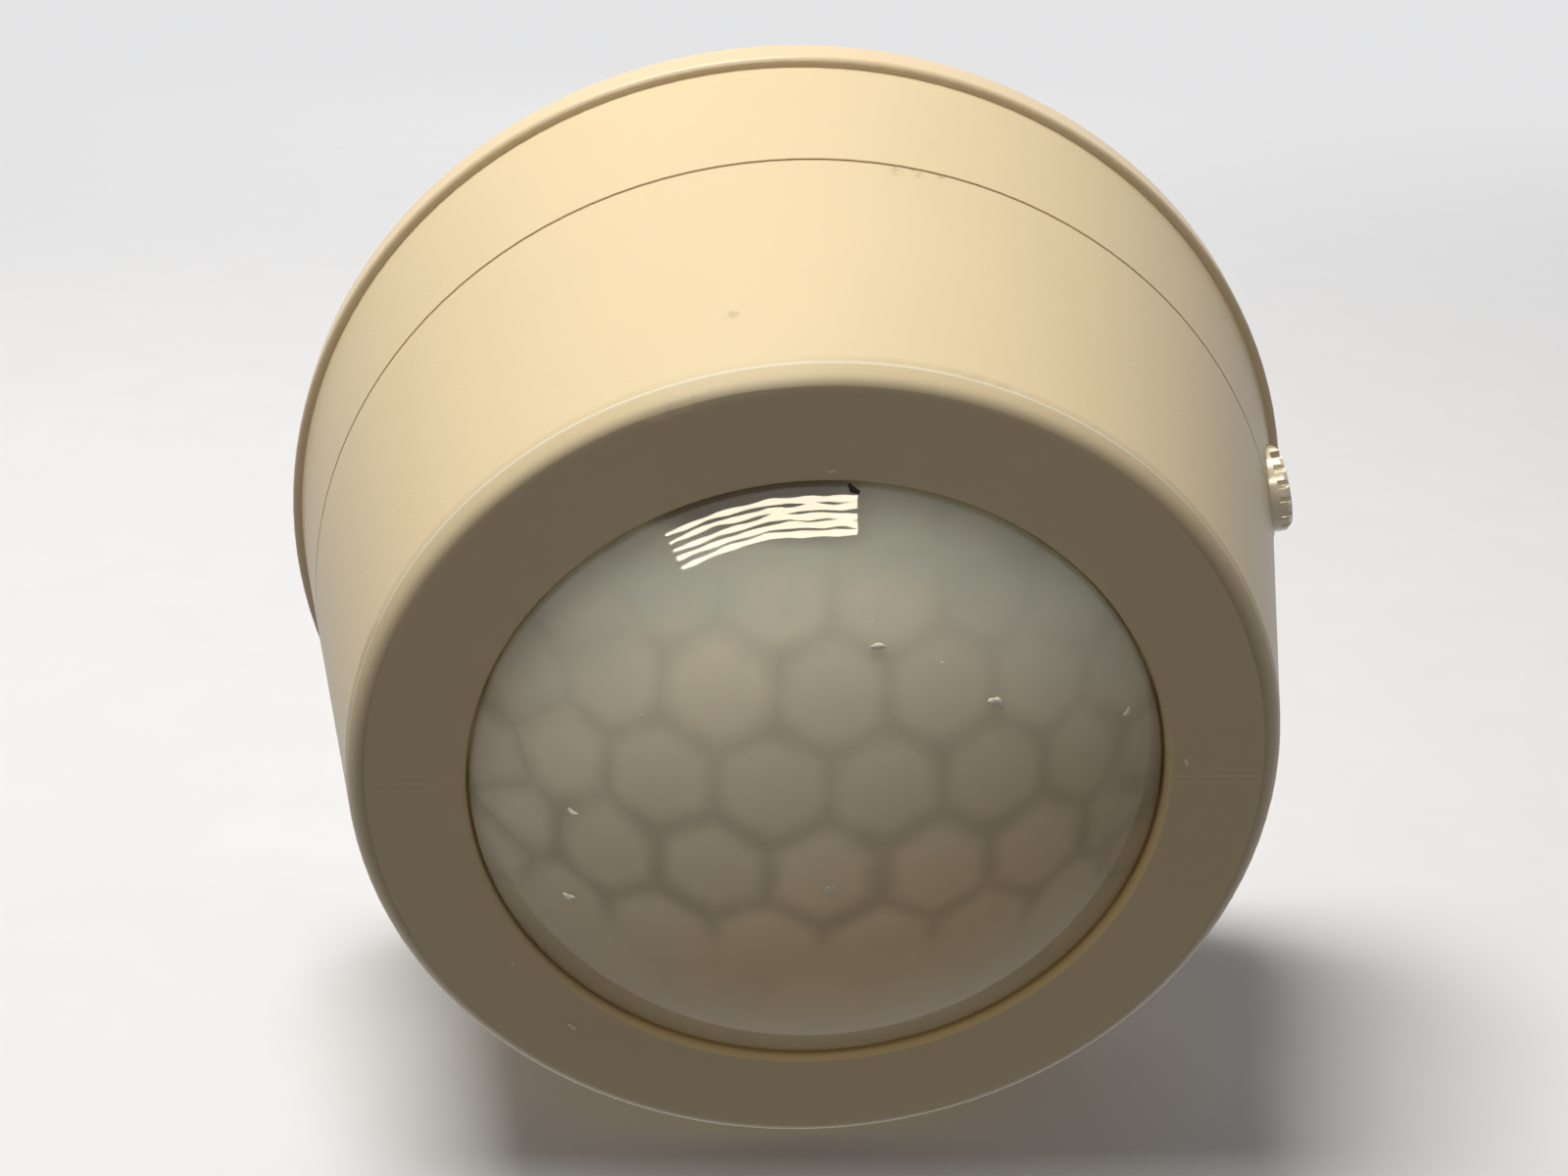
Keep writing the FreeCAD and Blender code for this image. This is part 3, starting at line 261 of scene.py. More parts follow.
SMEAR_REACH = 1.6
SMEAR_SHARE = 0.25
GROOVE_HEIGHT = -21.8
GROOVE_EDGES = (0.34, 0.18)
GROOVE_SHADE_COLOUR = srgb(190, 164, 124)
GROOVE_SHADE_SHARE = 0.8
EDGE_ROUND = 2.8
EDGE_ROUND_MIDDLE = 43.556
EDGE_SLOPE = math.radians(29.0)
EDGE_END = math.radians(75.0)
CORNER_HIGHLIGHT_EDGES = (0.08, 0.02)
CORNER_HIGHLIGHT_COLOUR = srgb(255, 250, 226)
CORNER_HIGHLIGHT_SHARE = 0.55
HOLE_EDGE = 35.35
HOLE_GLOW_COLOUR = srgb(255, 228, 166)
HOLE_GLOW_SIDE = (0.45, 0.89, 0.0)
HOLE_GLOW_REACH = 30.0
BUMP_STEP = 0.02


def housing_plastic():
    """Satin beige, with two knit lines on the ring face, a nick, a rub mark and a smear, painted shade in
    the groove, a painted highlight on the edge of the ring face and painted light in the opening.
    """
    material, tree, shader = new_material("housing_plastic", specular_ior_level=HOUSING_SHINE)
    look = use(tree, moulded, {"Colour": (*HOUSING_COLOUR, 1.0), "Unevenness": 0.05, "Grain Size": 0.3,
                               "Roughness": HOUSING_ROUGHNESS, "Specks": 0.5})
    place = own_place(tree)
    parts = add(tree, "SeparateXYZ", {0: place})
    x, y, z = parts.outputs[0], parts.outputs[1], parts.outputs[2]
    right = math_node(tree, "GREATER_THAN", x, 0.0)
    seam = math_node(tree, "MULTIPLY_ADD", right, (KNIT_RIGHT - KNIT_LEFT) * MM, KNIT_LEFT * MM)
    away = math_node(tree, "ABSOLUTE", math_node(tree, "SUBTRACT", y, seam))
    line = steps(tree, away, KNIT_EDGES[0] * MM, KNIT_EDGES[1] * MM)
    on_face = steps(tree, z, (FACE + 0.1) * MM, (FACE + 0.03) * MM)
    knit = math_node(tree, "MULTIPLY", line, on_face)
    shown = math_node(tree, "MULTIPLY", knit, KNIT_SHARE)
    colour = blend_colour(tree, shown, look.outputs["Colour"], KNIT_COLOUR)
    marks = spot(tree, place, NICK_PLACE, NICK_REACH)
    for middle in RUB_PLACES:
        marks = math_node(tree, "MAXIMUM", marks, spot(tree, place, middle, RUB_REACH))
    broken = steps(tree, noise(tree, place, CRUMB_SCALE, 3.0), *CRUMB_EDGES)
    marks = math_node(tree, "MULTIPLY", marks, broken)
    colour = blend_colour(tree, math_node(tree, "MULTIPLY", marks, MARK_SHARE), colour, MARK_COLOUR)
    smear = math_node(tree, "MULTIPLY", spot(tree, place, SMEAR_PLACE, SMEAR_REACH), SMEAR_SHARE)
    colour = blend_colour(tree, smear, colour, KNIT_COLOUR)
    # The groove is painted darker: painted shade, for the shade that falls in it.
    off_groove = math_node(tree, "ABSOLUTE", math_node(tree, "SUBTRACT", z, GROOVE_HEIGHT * MM))
    in_groove = steps(tree, off_groove, GROOVE_EDGES[0] * MM, GROOVE_EDGES[1] * MM)
    colour = blend_colour(tree, math_node(tree, "MULTIPLY", in_groove, GROOVE_SHADE_SHARE), colour, GROOVE_SHADE_COLOUR)
    # The outer edge of the ring face is a slope between two soft corners. The round of the
    # solid is bent to that slope here, by how far round it a point lies.
    from_axis = off_axis(tree, place)
    below = math_node(tree, "SUBTRACT", (FACE + EDGE_ROUND) * MM, z)
    beside = math_node(tree, "SUBTRACT", from_axis, EDGE_ROUND_MIDDLE * MM)
    way_round = math_node(tree, "ARCTAN2", below, beside)
    turned = math_node(tree, "MINIMUM", math_node(tree, "MAXIMUM", way_round, EDGE_SLOPE), EDGE_END)
    off_slope = math_node(tree, "COSINE", math_node(tree, "SUBTRACT", turned, EDGE_SLOPE))
    edge_height = math_node(tree, "MULTIPLY", math_node(tree, "LOGARITHM", off_slope, math.e), -EDGE_ROUND)
    # A thin pale line is painted along the corner at the top of the slope: a painted highlight.
    corner = math_node(tree, "ABSOLUTE", math_node(tree, "SUBTRACT", way_round, EDGE_SLOPE))
    corner_highlight = math_node(tree, "MULTIPLY", steps(tree, corner, *CORNER_HIGHLIGHT_EDGES), CORNER_HIGHLIGHT_SHARE)
    colour = blend_colour(tree, corner_highlight, colour, CORNER_HIGHLIGHT_COLOUR)
    # The edge of the opening is painted gold on its side towards +Y: painted light, for light that comes
    # through the lens.
    in_hole = steps(tree, from_axis, HOLE_EDGE * MM, (HOLE_EDGE - 0.3) * MM)
    side = add(tree, "VectorMath", {0: place, 1: HOLE_GLOW_SIDE}, operation="DOT_PRODUCT")
    lit = steps(tree, side.outputs["Value"], 0.0, HOLE_GLOW_REACH * MM)
    glow = math_node(tree, "MULTIPLY", in_hole, lit)
    colour = blend_colour(tree, glow, colour, HOLE_GLOW_COLOUR)
    paint(tree, shader, colour, look.outputs["Roughness"])
    height = math_node(tree, "MULTIPLY_ADD", knit, KNIT_HEIGHT, look.outputs["Height"])
    height = math_node(tree, "MULTIPLY_ADD", marks, -MARK_DEPTH, height)
    height = math_node(tree, "MULTIPLY_ADD", edge_height, 1.0 / BUMP_STEP, height)
    raise_surface(tree, shader, height, BUMP_STEP * MM)
    return material


finish_node("housing", housing_plastic())


# Mounting base
# A second moulding of the same beige, a shade warmer. Its rim shows behind the housing,
# and its back goes against the ceiling.

BASE_COLOUR = srgb(226, 204, 164)
base_plastic = plain_moulding("base_plastic", BASE_COLOUR, roughness=0.38, specks=0.5)
finish_node("mounting_base", base_plastic)


# Lens
# One milky moulding with a glossy outside. Flat facets on its inside make the cells, so the
# wall is thick and pale in the middle of each cell, and thin and darker along its borders.

DOME_RADIUS = 47.8077
DOME_MIDDLE = -21.5923
LENS_WALL = 1.6
LENS_RADIUS = 34.1
LENS_FOOT = -53.1
FLANGE_RADIUS = 37.0
FLANGE_BACK = -51.6
CELL_PITCH = 10.7
CELL_RINGS = 3
PETALS = 20
PETAL_WAY = 35.0
LENS_TURNS = 360
DOME_STEPS = 100
HOLLOW_STEPS = 56
SHARP_ANGLE = 50.0
SOFTNESS = 420.0
TONE_SEED = 11
MILKINESS = 0.9
MILK_REACH = 0.011
MILK_SPREAD = (1.0, 0.8, 0.6)
LENS_SHINE = 0.05
LENS_COLOUR = srgb(252, 240, 208)
BORDER_COLOUR = srgb(194, 184, 152)
PAINTED_TEAL_COLOUR = srgb(214, 222, 200)
SHADED_MARGIN_COLOUR = srgb(120, 98, 76)
LOW_SHADE_TINT = srgb(186, 172, 148)
# How soft, how dark and where the borders, tones and tints show. Here places along X and Y
# and radii are in metres, and the wall and the way from a border in millimetres.
DRIFT_SCALE = 150.0
BORDER_WANDER = 3.0
BORDER_EDGES = (2.3, -0.5)
BORDER_DARK = 0.24
BORDER_SHADE_DARKER = 0.32
BORDER_SHADE_FROM = (-0.022, 0.008)
THIN_WALL = (1.4, 1.22)
THIN_WANDER = 0.1
THIN_DARK = 0.22
FULL_WALL = (1.46, 1.36)
HOLLOW_DARK = 0.10
FOOT_EDGES = (0.006, 0.011)
FOOT_FADE = -0.85
LOW_SIDE = (0.35, 0.94, 0.0)
LOW_EDGES = (-0.014, 0.014)
LOW_SHADE_SHARE = 0.9
CELL_TONES = 0.06
LEAST_TONE = 0.97
DRIFT_TONES = 0.08
CRISP_LINE = (0.3, 0.04)
CRISP_RADIUS = (0.025, 0.031)
CRISP_FROM = (-0.018, 0.0)
CRISP_SHARE = 0.22
TEAL_FROM = (-0.004, -0.026)
TEAL_RADIUS = (0.022, 0.031)
TEAL_WANDER = 0.016
PAINTED_TEAL_SHARE = 0.55
MARGIN_EDGES = (-0.0290, -0.0312)
MARGIN_LEFT = (0.006, -0.002)
SHADED_MARGIN_SHARE = 0.7
CLEAN_EDGES = (-0.016, -0.024)
GLOSS = 0.3
CLEAN_GLOSS = 0.7
LENS_ROUGHNESS = 0.45
ROUGHNESS_DRIFT = 0.1


def way_out(way, turn):
    """The direction from the dome's middle to a place, by its angle from straight down."""
    return np.array([np.sin(way) * np.cos(turn), np.sin(way) * np.sin(turn), -np.cos(way) + 0 * turn])


def cell_directions():
    """The directions of the middles of the whole cells, then of the short ones at the edge."""
    middles = []
    for row in range(-CELL_RINGS, CELL_RINGS + 1):
        for step in range(-CELL_RINGS, CELL_RINGS + 1):
            if abs(row + step) <= CELL_RINGS:
                across = (step + row / 2) * CELL_PITCH
                along = row * math.sqrt(0.75) * CELL_PITCH
                middles.append((math.hypot(across, along) / DOME_RADIUS, math.atan2(along, across)))
    for number in range(PETALS):
        middles.append((PETAL_WAY / DOME_RADIUS, 2 * math.pi * (number + 0.5) / PETALS))
    return np.array([way_out(way, turn) for way, turn in middles])


def lens_mesh():
    """The lens as one closed skin of rings, with what it needs to show its cells."""
    cells = cell_directions()
    turns = np.linspace(0.0, 2 * math.pi, LENS_TURNS, endpoint=False)
    foot_way = math.asin(LENS_RADIUS / DOME_RADIUS)
    hollow_radius = LENS_RADIUS - LENS_WALL
    hollow_way = math.atan2(hollow_radius, DOME_MIDDLE - FLANGE_BACK)
    rings = []
    for way in np.linspace(0.0, foot_way, DOME_STEPS + 1)[1:]:
        rings.append(way_out(way, turns).T * DOME_RADIUS + (0.0, 0.0, DOME_MIDDLE))
    corners = ((LENS_RADIUS, LENS_FOOT), (FLANGE_RADIUS, LENS_FOOT), (FLANGE_RADIUS, FLANGE_BACK))
    for radius, height in corners:
        rings.append(np.stack((radius * np.cos(turns), radius * np.sin(turns), height + 0 * turns), 1))
    for way in np.linspace(hollow_way, 0.0, HOLLOW_STEPS + 1)[:-1]:
        directions = way_out(way, turns).T
        facet = (DOME_RADIUS - LENS_WALL) / (directions @ cells.T).max(1)
        reach = np.minimum(facet, hollow_radius / math.sin(way))
        rings.append(directions * reach[:, None] + (0.0, 0.0, DOME_MIDDLE))
    top = (0.0, 0.0, DOME_MIDDLE - DOME_RADIUS)
    bottom = (0.0, 0.0, DOME_MIDDLE - DOME_RADIUS + LENS_WALL)
    points = np.concatenate([[top], *rings, [bottom]])
    faces = []
    for turn in range(LENS_TURNS):
        after = (turn + 1) % LENS_TURNS
        faces.append((0, 1 + turn, 1 + after))
        for ring in range(len(rings) - 1):
            here, there = 1 + ring * LENS_TURNS, 1 + (ring + 1) * LENS_TURNS
            faces.append((here + turn, there + turn, there + after, here + after))
        last = 1 + (len(rings) - 1) * LENS_TURNS
        faces.append((len(points) - 1, last + after, last + turn))
    mesh = bpy.data.meshes.new("lens_dome")
    mesh.from_pydata(points * MM, [], faces)
    mesh.shade_smooth()
    mesh.set_sharp_from_angle(angle=math.radians(SHARP_ANGLE))
    directions = points - (0.0, 0.0, DOME_MIDDLE)
    directions /= np.linalg.norm(directions, axis=1)[:, None]
    every = directions @ cells.T
    nearness = np.sort(every, axis=1)
    softened = np.log(np.exp(SOFTNESS * (every - 1.0)).sum(1)) / SOFTNESS + 1.0
    thickness = DOME_RADIUS - (DOME_RADIUS - LENS_WALL) / softened
    border = (np.arccos(nearness[:, -2]) - np.arccos(np.minimum(nearness[:, -1], 1.0))) * DOME_RADIUS / 2
    tones = np.random.default_rng(TONE_SEED).uniform(0.0, 1.0, len(cells))
    for name, values in (("wall", thickness), ("border", border), ("tone", tones[every.argmax(1)])):
        mesh.attributes.new(name, "FLOAT", "POINT").data.foreach_set("value", values.astype(np.float32))
    return mesh


def lens_plastic():
    """Milky satin plastic under a clear gloss, with the cells showing through it, and with painted shade
    and painted light on it.
    """
    material, tree, shader = new_material(
        "lens_plastic", subsurface_weight=MILKINESS, subsurface_scale=MILK_REACH,
        subsurface_radius=MILK_SPREAD, coat_roughness=0.0, specular_ior_level=LENS_SHINE)
    shader.subsurface_method = "BURLEY"
    place = own_place(tree)
    parts = add(tree, "SeparateXYZ", {0: place})
    x, y = parts.outputs[0], parts.outputs[1]
    wall, border, tone = (add(tree, "Attribute", attribute_name=kept).outputs["Fac"]
                          for kept in ("wall", "border", "tone"))
    outer = off_axis(tree, place)
    drift = math_node(tree, "SUBTRACT", noise(tree, place, DRIFT_SCALE, 4.0), 0.5)
    # The borders look soft through the milky wall, and fade near the foot. Towards +Y they are painted
    # darker, as painted shade.
    blurred = math_node(tree, "MULTIPLY_ADD", drift, BORDER_WANDER, border)
    soft_line = steps(tree, blurred, *BORDER_EDGES)
    depth = math_node(tree, "MULTIPLY_ADD", steps(tree, y, *BORDER_SHADE_FROM), BORDER_SHADE_DARKER, BORDER_DARK)
    dark = math_node(tree, "MULTIPLY", soft_line, depth)
    thin = steps(tree, math_node(tree, "MULTIPLY_ADD", drift, THIN_WANDER, wall), *THIN_WALL)
    dark = math_node(tree, "MULTIPLY_ADD", thin, THIN_DARK, dark)
    dark = math_node(tree, "MULTIPLY_ADD", steps(tree, wall, *FULL_WALL), HOLLOW_DARK, dark)
    at_foot = steps(tree, y, *FOOT_EDGES)
    dark = math_node(tree, "MULTIPLY", dark, math_node(tree, "MULTIPLY_ADD", at_foot, FOOT_FADE, 1.0))
    colour = blend_colour(tree, dark, LENS_COLOUR, BORDER_COLOUR)
    # Towards +Y the lens is painted darker and warmer: painted shade.
    slanted = add(tree, "VectorMath", {0: place, 1: LOW_SIDE}, operation="DOT_PRODUCT").outputs["Value"]
    lower = math_node(tree, "MULTIPLY", steps(tree, slanted, *LOW_EDGES), LOW_SHADE_SHARE)
    colour = blend_colour(tree, lower, colour, LOW_SHADE_TINT, "MULTIPLY")
    lift = math_node(tree, "MULTIPLY_ADD", tone, CELL_TONES, LEAST_TONE)
    lift = math_node(tree, "MULTIPLY_ADD", drift, DRIFT_TONES, lift)
    shade = add(tree, "CombineColor", {0: lift, 1: lift, 2: lift}).outputs[0]
    colour = blend_colour(tree, 1.0, colour, shade, "MULTIPLY")
    # Near the edge the borders are seen more sharply.
    crisp = math_node(tree, "MULTIPLY", steps(tree, outer, *CRISP_RADIUS), steps(tree, y, *CRISP_FROM))
    crisp = math_node(tree, "MULTIPLY", steps(tree, border, *CRISP_LINE), crisp)
    colour = blend_colour(tree, math_node(tree, "MULTIPLY", crisp, CRISP_SHARE), colour, BORDER_COLOUR)
    # Near the rim on the -Y side a teal tint is painted: painted light, for the green board seen through
    # the lens.
    wavy = math_node(tree, "MULTIPLY_ADD", drift, TEAL_WANDER, outer)
    painted_teal = math_node(tree, "MULTIPLY", steps(tree, wavy, *TEAL_RADIUS), steps(tree, y, *TEAL_FROM))
    colour = blend_colour(tree, math_node(tree, "MULTIPLY", painted_teal, PAINTED_TEAL_SHARE), colour, PAINTED_TEAL_COLOUR)
    # Near the rim on the -Y side and towards -X, dark brown is painted: painted shade under the edge of the
    # opening.
    shaded_margin = math_node(tree, "MULTIPLY", steps(tree, y, *MARGIN_EDGES), steps(tree, x, *MARGIN_LEFT))
    colour = blend_colour(tree, math_node(tree, "MULTIPLY", shaded_margin, SHADED_MARGIN_SHARE), colour, SHADED_MARGIN_COLOUR)
    rough = math_node(tree, "MULTIPLY_ADD", drift, ROUGHNESS_DRIFT, LENS_ROUGHNESS)
    paint(tree, shader, colour, rough)
    # Its gloss is fullest near the edge that hangs free of dust and handling.
    clean = steps(tree, y, *CLEAN_EDGES)
    gloss = math_node(tree, "MULTIPLY_ADD", clean, CLEAN_GLOSS, GLOSS)
    tree.links.new(gloss, shader.inputs["Coat Weight"])
    return material


def place_piece(name, mesh, material, body):
    """Puts a new mesh in the scene with its material, on a body."""
    made = bpy.data.objects.new(name, mesh)
    made.data.materials.append(material)
    bpy.context.scene.collection.objects.link(made)
    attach(made, body)
    return made


lens = place_piece("lens_dome", lens_mesh(), lens_plastic(), "sensor")
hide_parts("lens")
# The milky wall lets light through, so it throws no hard shadow into the housing.
lens.visible_shadow = False


# Adjuster knob
# A small cream knob whose edge stands out of the wall, so that a finger can turn it. It
# is moulded, glossy from handling, and pushed onto the shaft.

KNOB_COLOUR = srgb(240, 228, 196)
knob_plastic = plain_moulding("knob_plastic", KNOB_COLOUR, roughness=0.2, grain=0.5, unevenness=0.08,
                              coat_weight=0.5, coat_roughness=0.1)
finish_node("adjuster_knob", knob_plastic)


# Lens retainer
# A ring of the same beige plastic as the base. It clamps the flange of the lens to the
# ring face with four screws.

finish_node("lens_retainer", base_plastic)


# Screws and shaft
# Zinc plated steel: cold headed screws and the turned shaft of the adjuster. The plating
# is a little cloudy and shows fine lines.

ROUGHNESS_SPREAD = 0.16


def plated_metal(name, colour, other_colour, roughness, line_scale=(400.0, 400.0, 4000.0), bump=0.000008):
    """Metal with cloudy plating and fine lines round it."""
    material, tree, shader = new_material(name, metallic=1.0)
    place = own_place(tree)
    cloud = noise(tree, place, 500.0, 3.0)
    stretched = add(tree, "VectorMath", {0: place, 1: line_scale}, operation="MULTIPLY").outputs[0]
    lines = noise(tree, stretched, 1.0, 3.0)
    rough = math_node(tree, "MULTIPLY_ADD", lines, ROUGHNESS_SPREAD, roughness - ROUGHNESS_SPREAD / 2)
    paint(tree, shader, blend_colour(tree, cloud, colour, other_colour), rough)
    raise_surface(tree, shader, lines, bump)
    return material


screw_steel = plated_metal("screw_steel", (0.58, 0.57, 0.53), (0.72, 0.71, 0.70), roughness=0.34)
for name in ("retainer_screws", "main_board_screws", "spacer_screws", "terminal_screws", "adjuster_shaft"):
    finish_node(name, screw_steel)


# Board spacers
# Three turned brass spacers with the fine rings that the tool left. They hold the small
# board under the lens.

spacer_brass = plated_metal("spacer_brass", (0.70, 0.50, 0.22), (0.78, 0.60, 0.30), roughness=0.28,
                            line_scale=(200.0, 200.0, 9000.0))
finish_node("board_spacers", spacer_brass)


# Boards
# Glass fibre laminate under a green solder mask, with its copper tracks showing through
# as a lighter green, tinned joints, and white outlines printed round the parts.

TRACK_PITCH = 6.0
MASK_COLOUR = srgb(22, 92, 52)
TRACK_COLOUR = srgb(46, 124, 72)
JOINT_COLOUR = srgb(196, 196, 188)
PRINT_COLOUR = srgb(222, 224, 214)
CUT_EDGE_COLOUR = srgb(178, 162, 104)
PRINT_AWAY = 0.5
PRINT_EDGES = (0.18, 0.1)
POUR_SCALE = 70.0
POUR_EDGES = (0.52, 0.54)
JOINT_SCALE = 210.0
JOINT_EDGES = (0.13, 0.10)
PRINTED_PARTS = {
    "board_laminate": (
        "relay", "film_capacitor", "terminal_block", "rectifier", "varistor", "controller_chip",
        "voltage_regulator", "adjuster_block", "sensitivity_trimmer_body", "light_trimmer_body",
        "smoothing_capacitor", "output_capacitor", "fuse", "choke"),
    "small_board_laminate": (
        "amplifier_chip", "photocell", "indicator_lamp", "detector_can", "board_connector"),
}


def outline_group():
    """A printed outline round a part, from its middle and its half sizes in metres."""
    tree, given, out = new_group(
        "printed_outline", [("Place", "Vector", (0, 0, 0)), ("Middle", "Vector", (0, 0, 0)),
                            ("Half Size", "Vector", (0, 0, 0))], [("Mask", "Float")])
    place, middle, half = (given.outputs[label] for label in ("Place", "Middle", "Half Size"))
    away = add(tree, "VectorMath", {0: place, 1: middle}, operation="SUBTRACT").outputs[0]
    away = add(tree, "VectorMath", {0: away}, operation="ABSOLUTE").outputs[0]
    away = add(tree, "VectorMath", {0: away, 1: half}, operation="SUBTRACT").outputs[0]
    parts = add(tree, "SeparateXYZ", {0: away})
    most = math_node(tree, "MAXIMUM", parts.outputs[0], parts.outputs[1])
    off = math_node(tree, "ABSOLUTE", math_node(tree, "SUBTRACT", most, PRINT_AWAY * MM))
    line = steps(tree, off, PRINT_EDGES[0] * MM, PRINT_EDGES[1] * MM)
    tree.links.new(line, out.inputs["Mask"])
    return tree


printed_outline = outline_group()


def board_laminate(name):
    """Green solder mask over copper tracks, tinned joints, printed outlines and a cut edge."""
    material, tree, shader = new_material(name, coat_weight=0.3, coat_roughness=0.25)
    place = own_place(tree)
    tracks = []
    for turned in (0.0, math.pi / 2):
        laid = add(tree, "Mapping", {"Vector": place, "Rotation": (0.0, 0.0, turned)}).outputs[0]
        bricks = add(tree, "TexBrick", {"Vector": laid, "Scale": 0.25 / (TRACK_PITCH * MM),
                                        "Mortar Size": 0.012, "Mortar Smooth": 0.2})
        tracks.append(bricks.outputs["Fac"])
    track = math_node(tree, "MAXIMUM", *tracks)
    speckle = noise(tree, place, 260.0, 3.0)
    pour = steps(tree, noise(tree, place, POUR_SCALE), *POUR_EDGES)
    copper = math_node(tree, "MAXIMUM", track, pour)
    shade = math_node(tree, "MULTIPLY", copper, math_node(tree, "MULTIPLY_ADD", speckle, 0.3, 0.7))
    colour = blend_colour(tree, shade, MASK_COLOUR, TRACK_COLOUR)
    dots = add(tree, "TexVoronoi", {"Vector": place, "Scale": JOINT_SCALE, "Randomness": 0.8})
    joint = steps(tree, dots.outputs["Distance"], *JOINT_EDGES)
    colour = blend_colour(tree, joint, colour, JOINT_COLOUR)
    printed = None
    for part in PRINTED_PARTS[name]:
        low, high = (Vector(corner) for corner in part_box(part))
        sizes = {"Place": place, "Middle": (low + high) / 2, "Half Size": (high - low) / 2}
        mask = use(tree, printed_outline, sizes).outputs["Mask"]
        printed = mask if printed is None else math_node(tree, "MAXIMUM", printed, mask)
    colour = blend_colour(tree, printed, colour, PRINT_COLOUR)
    facing = add(tree, "SeparateXYZ", {0: add(tree, "NewGeometry").outputs["Normal"]}).outputs[2]
    edge = math_node(tree, "LESS_THAN", math_node(tree, "ABSOLUTE", facing), 0.5)
    colour = blend_colour(tree, edge, colour, CUT_EDGE_COLOUR)
    paint(tree, shader, colour, math_node(tree, "MULTIPLY_ADD", speckle, 0.2, 0.35))
    raised = math_node(tree, "ADD", copper, math_node(tree, "MULTIPLY", joint, 2.0))
    raise_surface(tree, shader, raised, 0.00003)
    return material


finish_node("main_board", board_laminate("board_laminate"))
finish_node("sensor_board", board_laminate("small_board_laminate"))


# Black parts
# Chips, rectifier, regulator, plug, relay and the block of the adjuster are moulded in
# black compound, matt with a fine grain.

BLACK = srgb(38, 38, 40)
black_plastic = plain_moulding("black_plastic", BLACK, roughness=0.5, grain=0.12, unevenness=0.25,
                               bump=0.00001)
for name in ("relay", "controller_chip", "amplifier_chip", "board_connector", "rectifier",
             "voltage_regulator", "adjuster_block"):
    finish_node(name, black_plastic)


# Diodes and resistors
# They lie in rows on the main board, on tinned wires bent down through it. A diode is
# black with a silver band, and a resistor is lacquered tan with painted bands.

DIODE_X = -18.0
DIODE_LENGTH = 5.2
RESISTOR_X = 0.0
RESISTOR_LENGTH = 6.3
WIRE_COLOUR = (0.66, 0.65, 0.62)
DIODE_BAND = ((-2.0, -1.2, srgb(196, 196, 192)),)
RESISTOR_COLOUR = srgb(206, 172, 122)
RESISTOR_BANDS = ((-2.3, -1.8, srgb(112, 66, 34)), (-1.3, -0.8, srgb(28, 28, 30)),
                  (-0.3, 0.2, srgb(196, 60, 38)), (1.6, 2.1, srgb(190, 148, 60)))


def banded_part(name, colour, bands, middle_x, length, roughness):
    """The lacquered body of a small part, its painted bands and its tinned wires."""
    material, tree, shader = new_material(name)
    look = use(tree, moulded, {"Colour": (*colour, 1.0), "Unevenness": 0.2, "Grain Size": 0.2,
                               "Roughness": roughness})
    colour = look.outputs["Colour"]
    x = add(tree, "SeparateXYZ", {0: own_place(tree)}).outputs[0]
    along = math_node(tree, "SUBTRACT", x, middle_x * MM)
    for start, end, band_colour in bands:
        off = math_node(tree, "ABSOLUTE", math_node(tree, "SUBTRACT", along, (start + end) / 2 * MM))
        wide = (end - start) * MM
        inside = steps(tree, off, wide * 0.5, wide * 0.42)
        colour = blend_colour(tree, inside, colour, band_colour)
    wire = math_node(tree, "GREATER_THAN", math_node(tree, "ABSOLUTE", along), length / 2 * MM)
    colour = blend_colour(tree, wire, colour, WIRE_COLOUR)
    paint(tree, shader, colour, look.outputs["Roughness"])
    tree.links.new(wire, shader.inputs["Metallic"])
    raise_surface(tree, shader, look.outputs["Height"], 0.00001)
    return material


finish_node("diodes", banded_part("diode_compound", BLACK, DIODE_BAND, DIODE_X, DIODE_LENGTH, 0.4))
finish_node("resistors", banded_part("resistor_coating", RESISTOR_COLOUR, RESISTOR_BANDS, RESISTOR_X,
                                     RESISTOR_LENGTH, 0.3))


# Detector
# The heat detector is a drawn, nickel plated can with a dark filter pane glued into its
# front, behind the middle of the lens.

can_metal = plated_metal("can_metal", (0.66, 0.65, 0.62), (0.76, 0.75, 0.73), roughness=0.24,
                         line_scale=(600.0, 600.0, 1500.0))
finish_node("detector_can", can_metal)


def filter_pane():
    """Dark coated glass whose colour drifts a little."""
    material, tree, shader = new_material("filter_pane", coat_weight=0.6, coat_roughness=0.03)
    place = own_place(tree)
    drift = noise(tree, place, 350.0, 1.0)
    colour = blend_colour(tree, drift, srgb(30, 20, 34), srgb(52, 40, 46))
    paint(tree, shader, colour, math_node(tree, "MULTIPLY_ADD", drift, 0.1, 0.06))
    return material


finish_node("detector_window", filter_pane())


# Can capacitors
# Aluminium cans in a printed dark sleeve with a pale stripe down the minus side. The top
# of the can stays bare.

SLEEVE_COLOUR = srgb(34, 40, 58)
STRIPE_COLOUR = srgb(190, 194, 200)
STRIPE_EDGES = (0.17, 0.16)
BARE_METAL = (0.72, 0.72, 0.72)


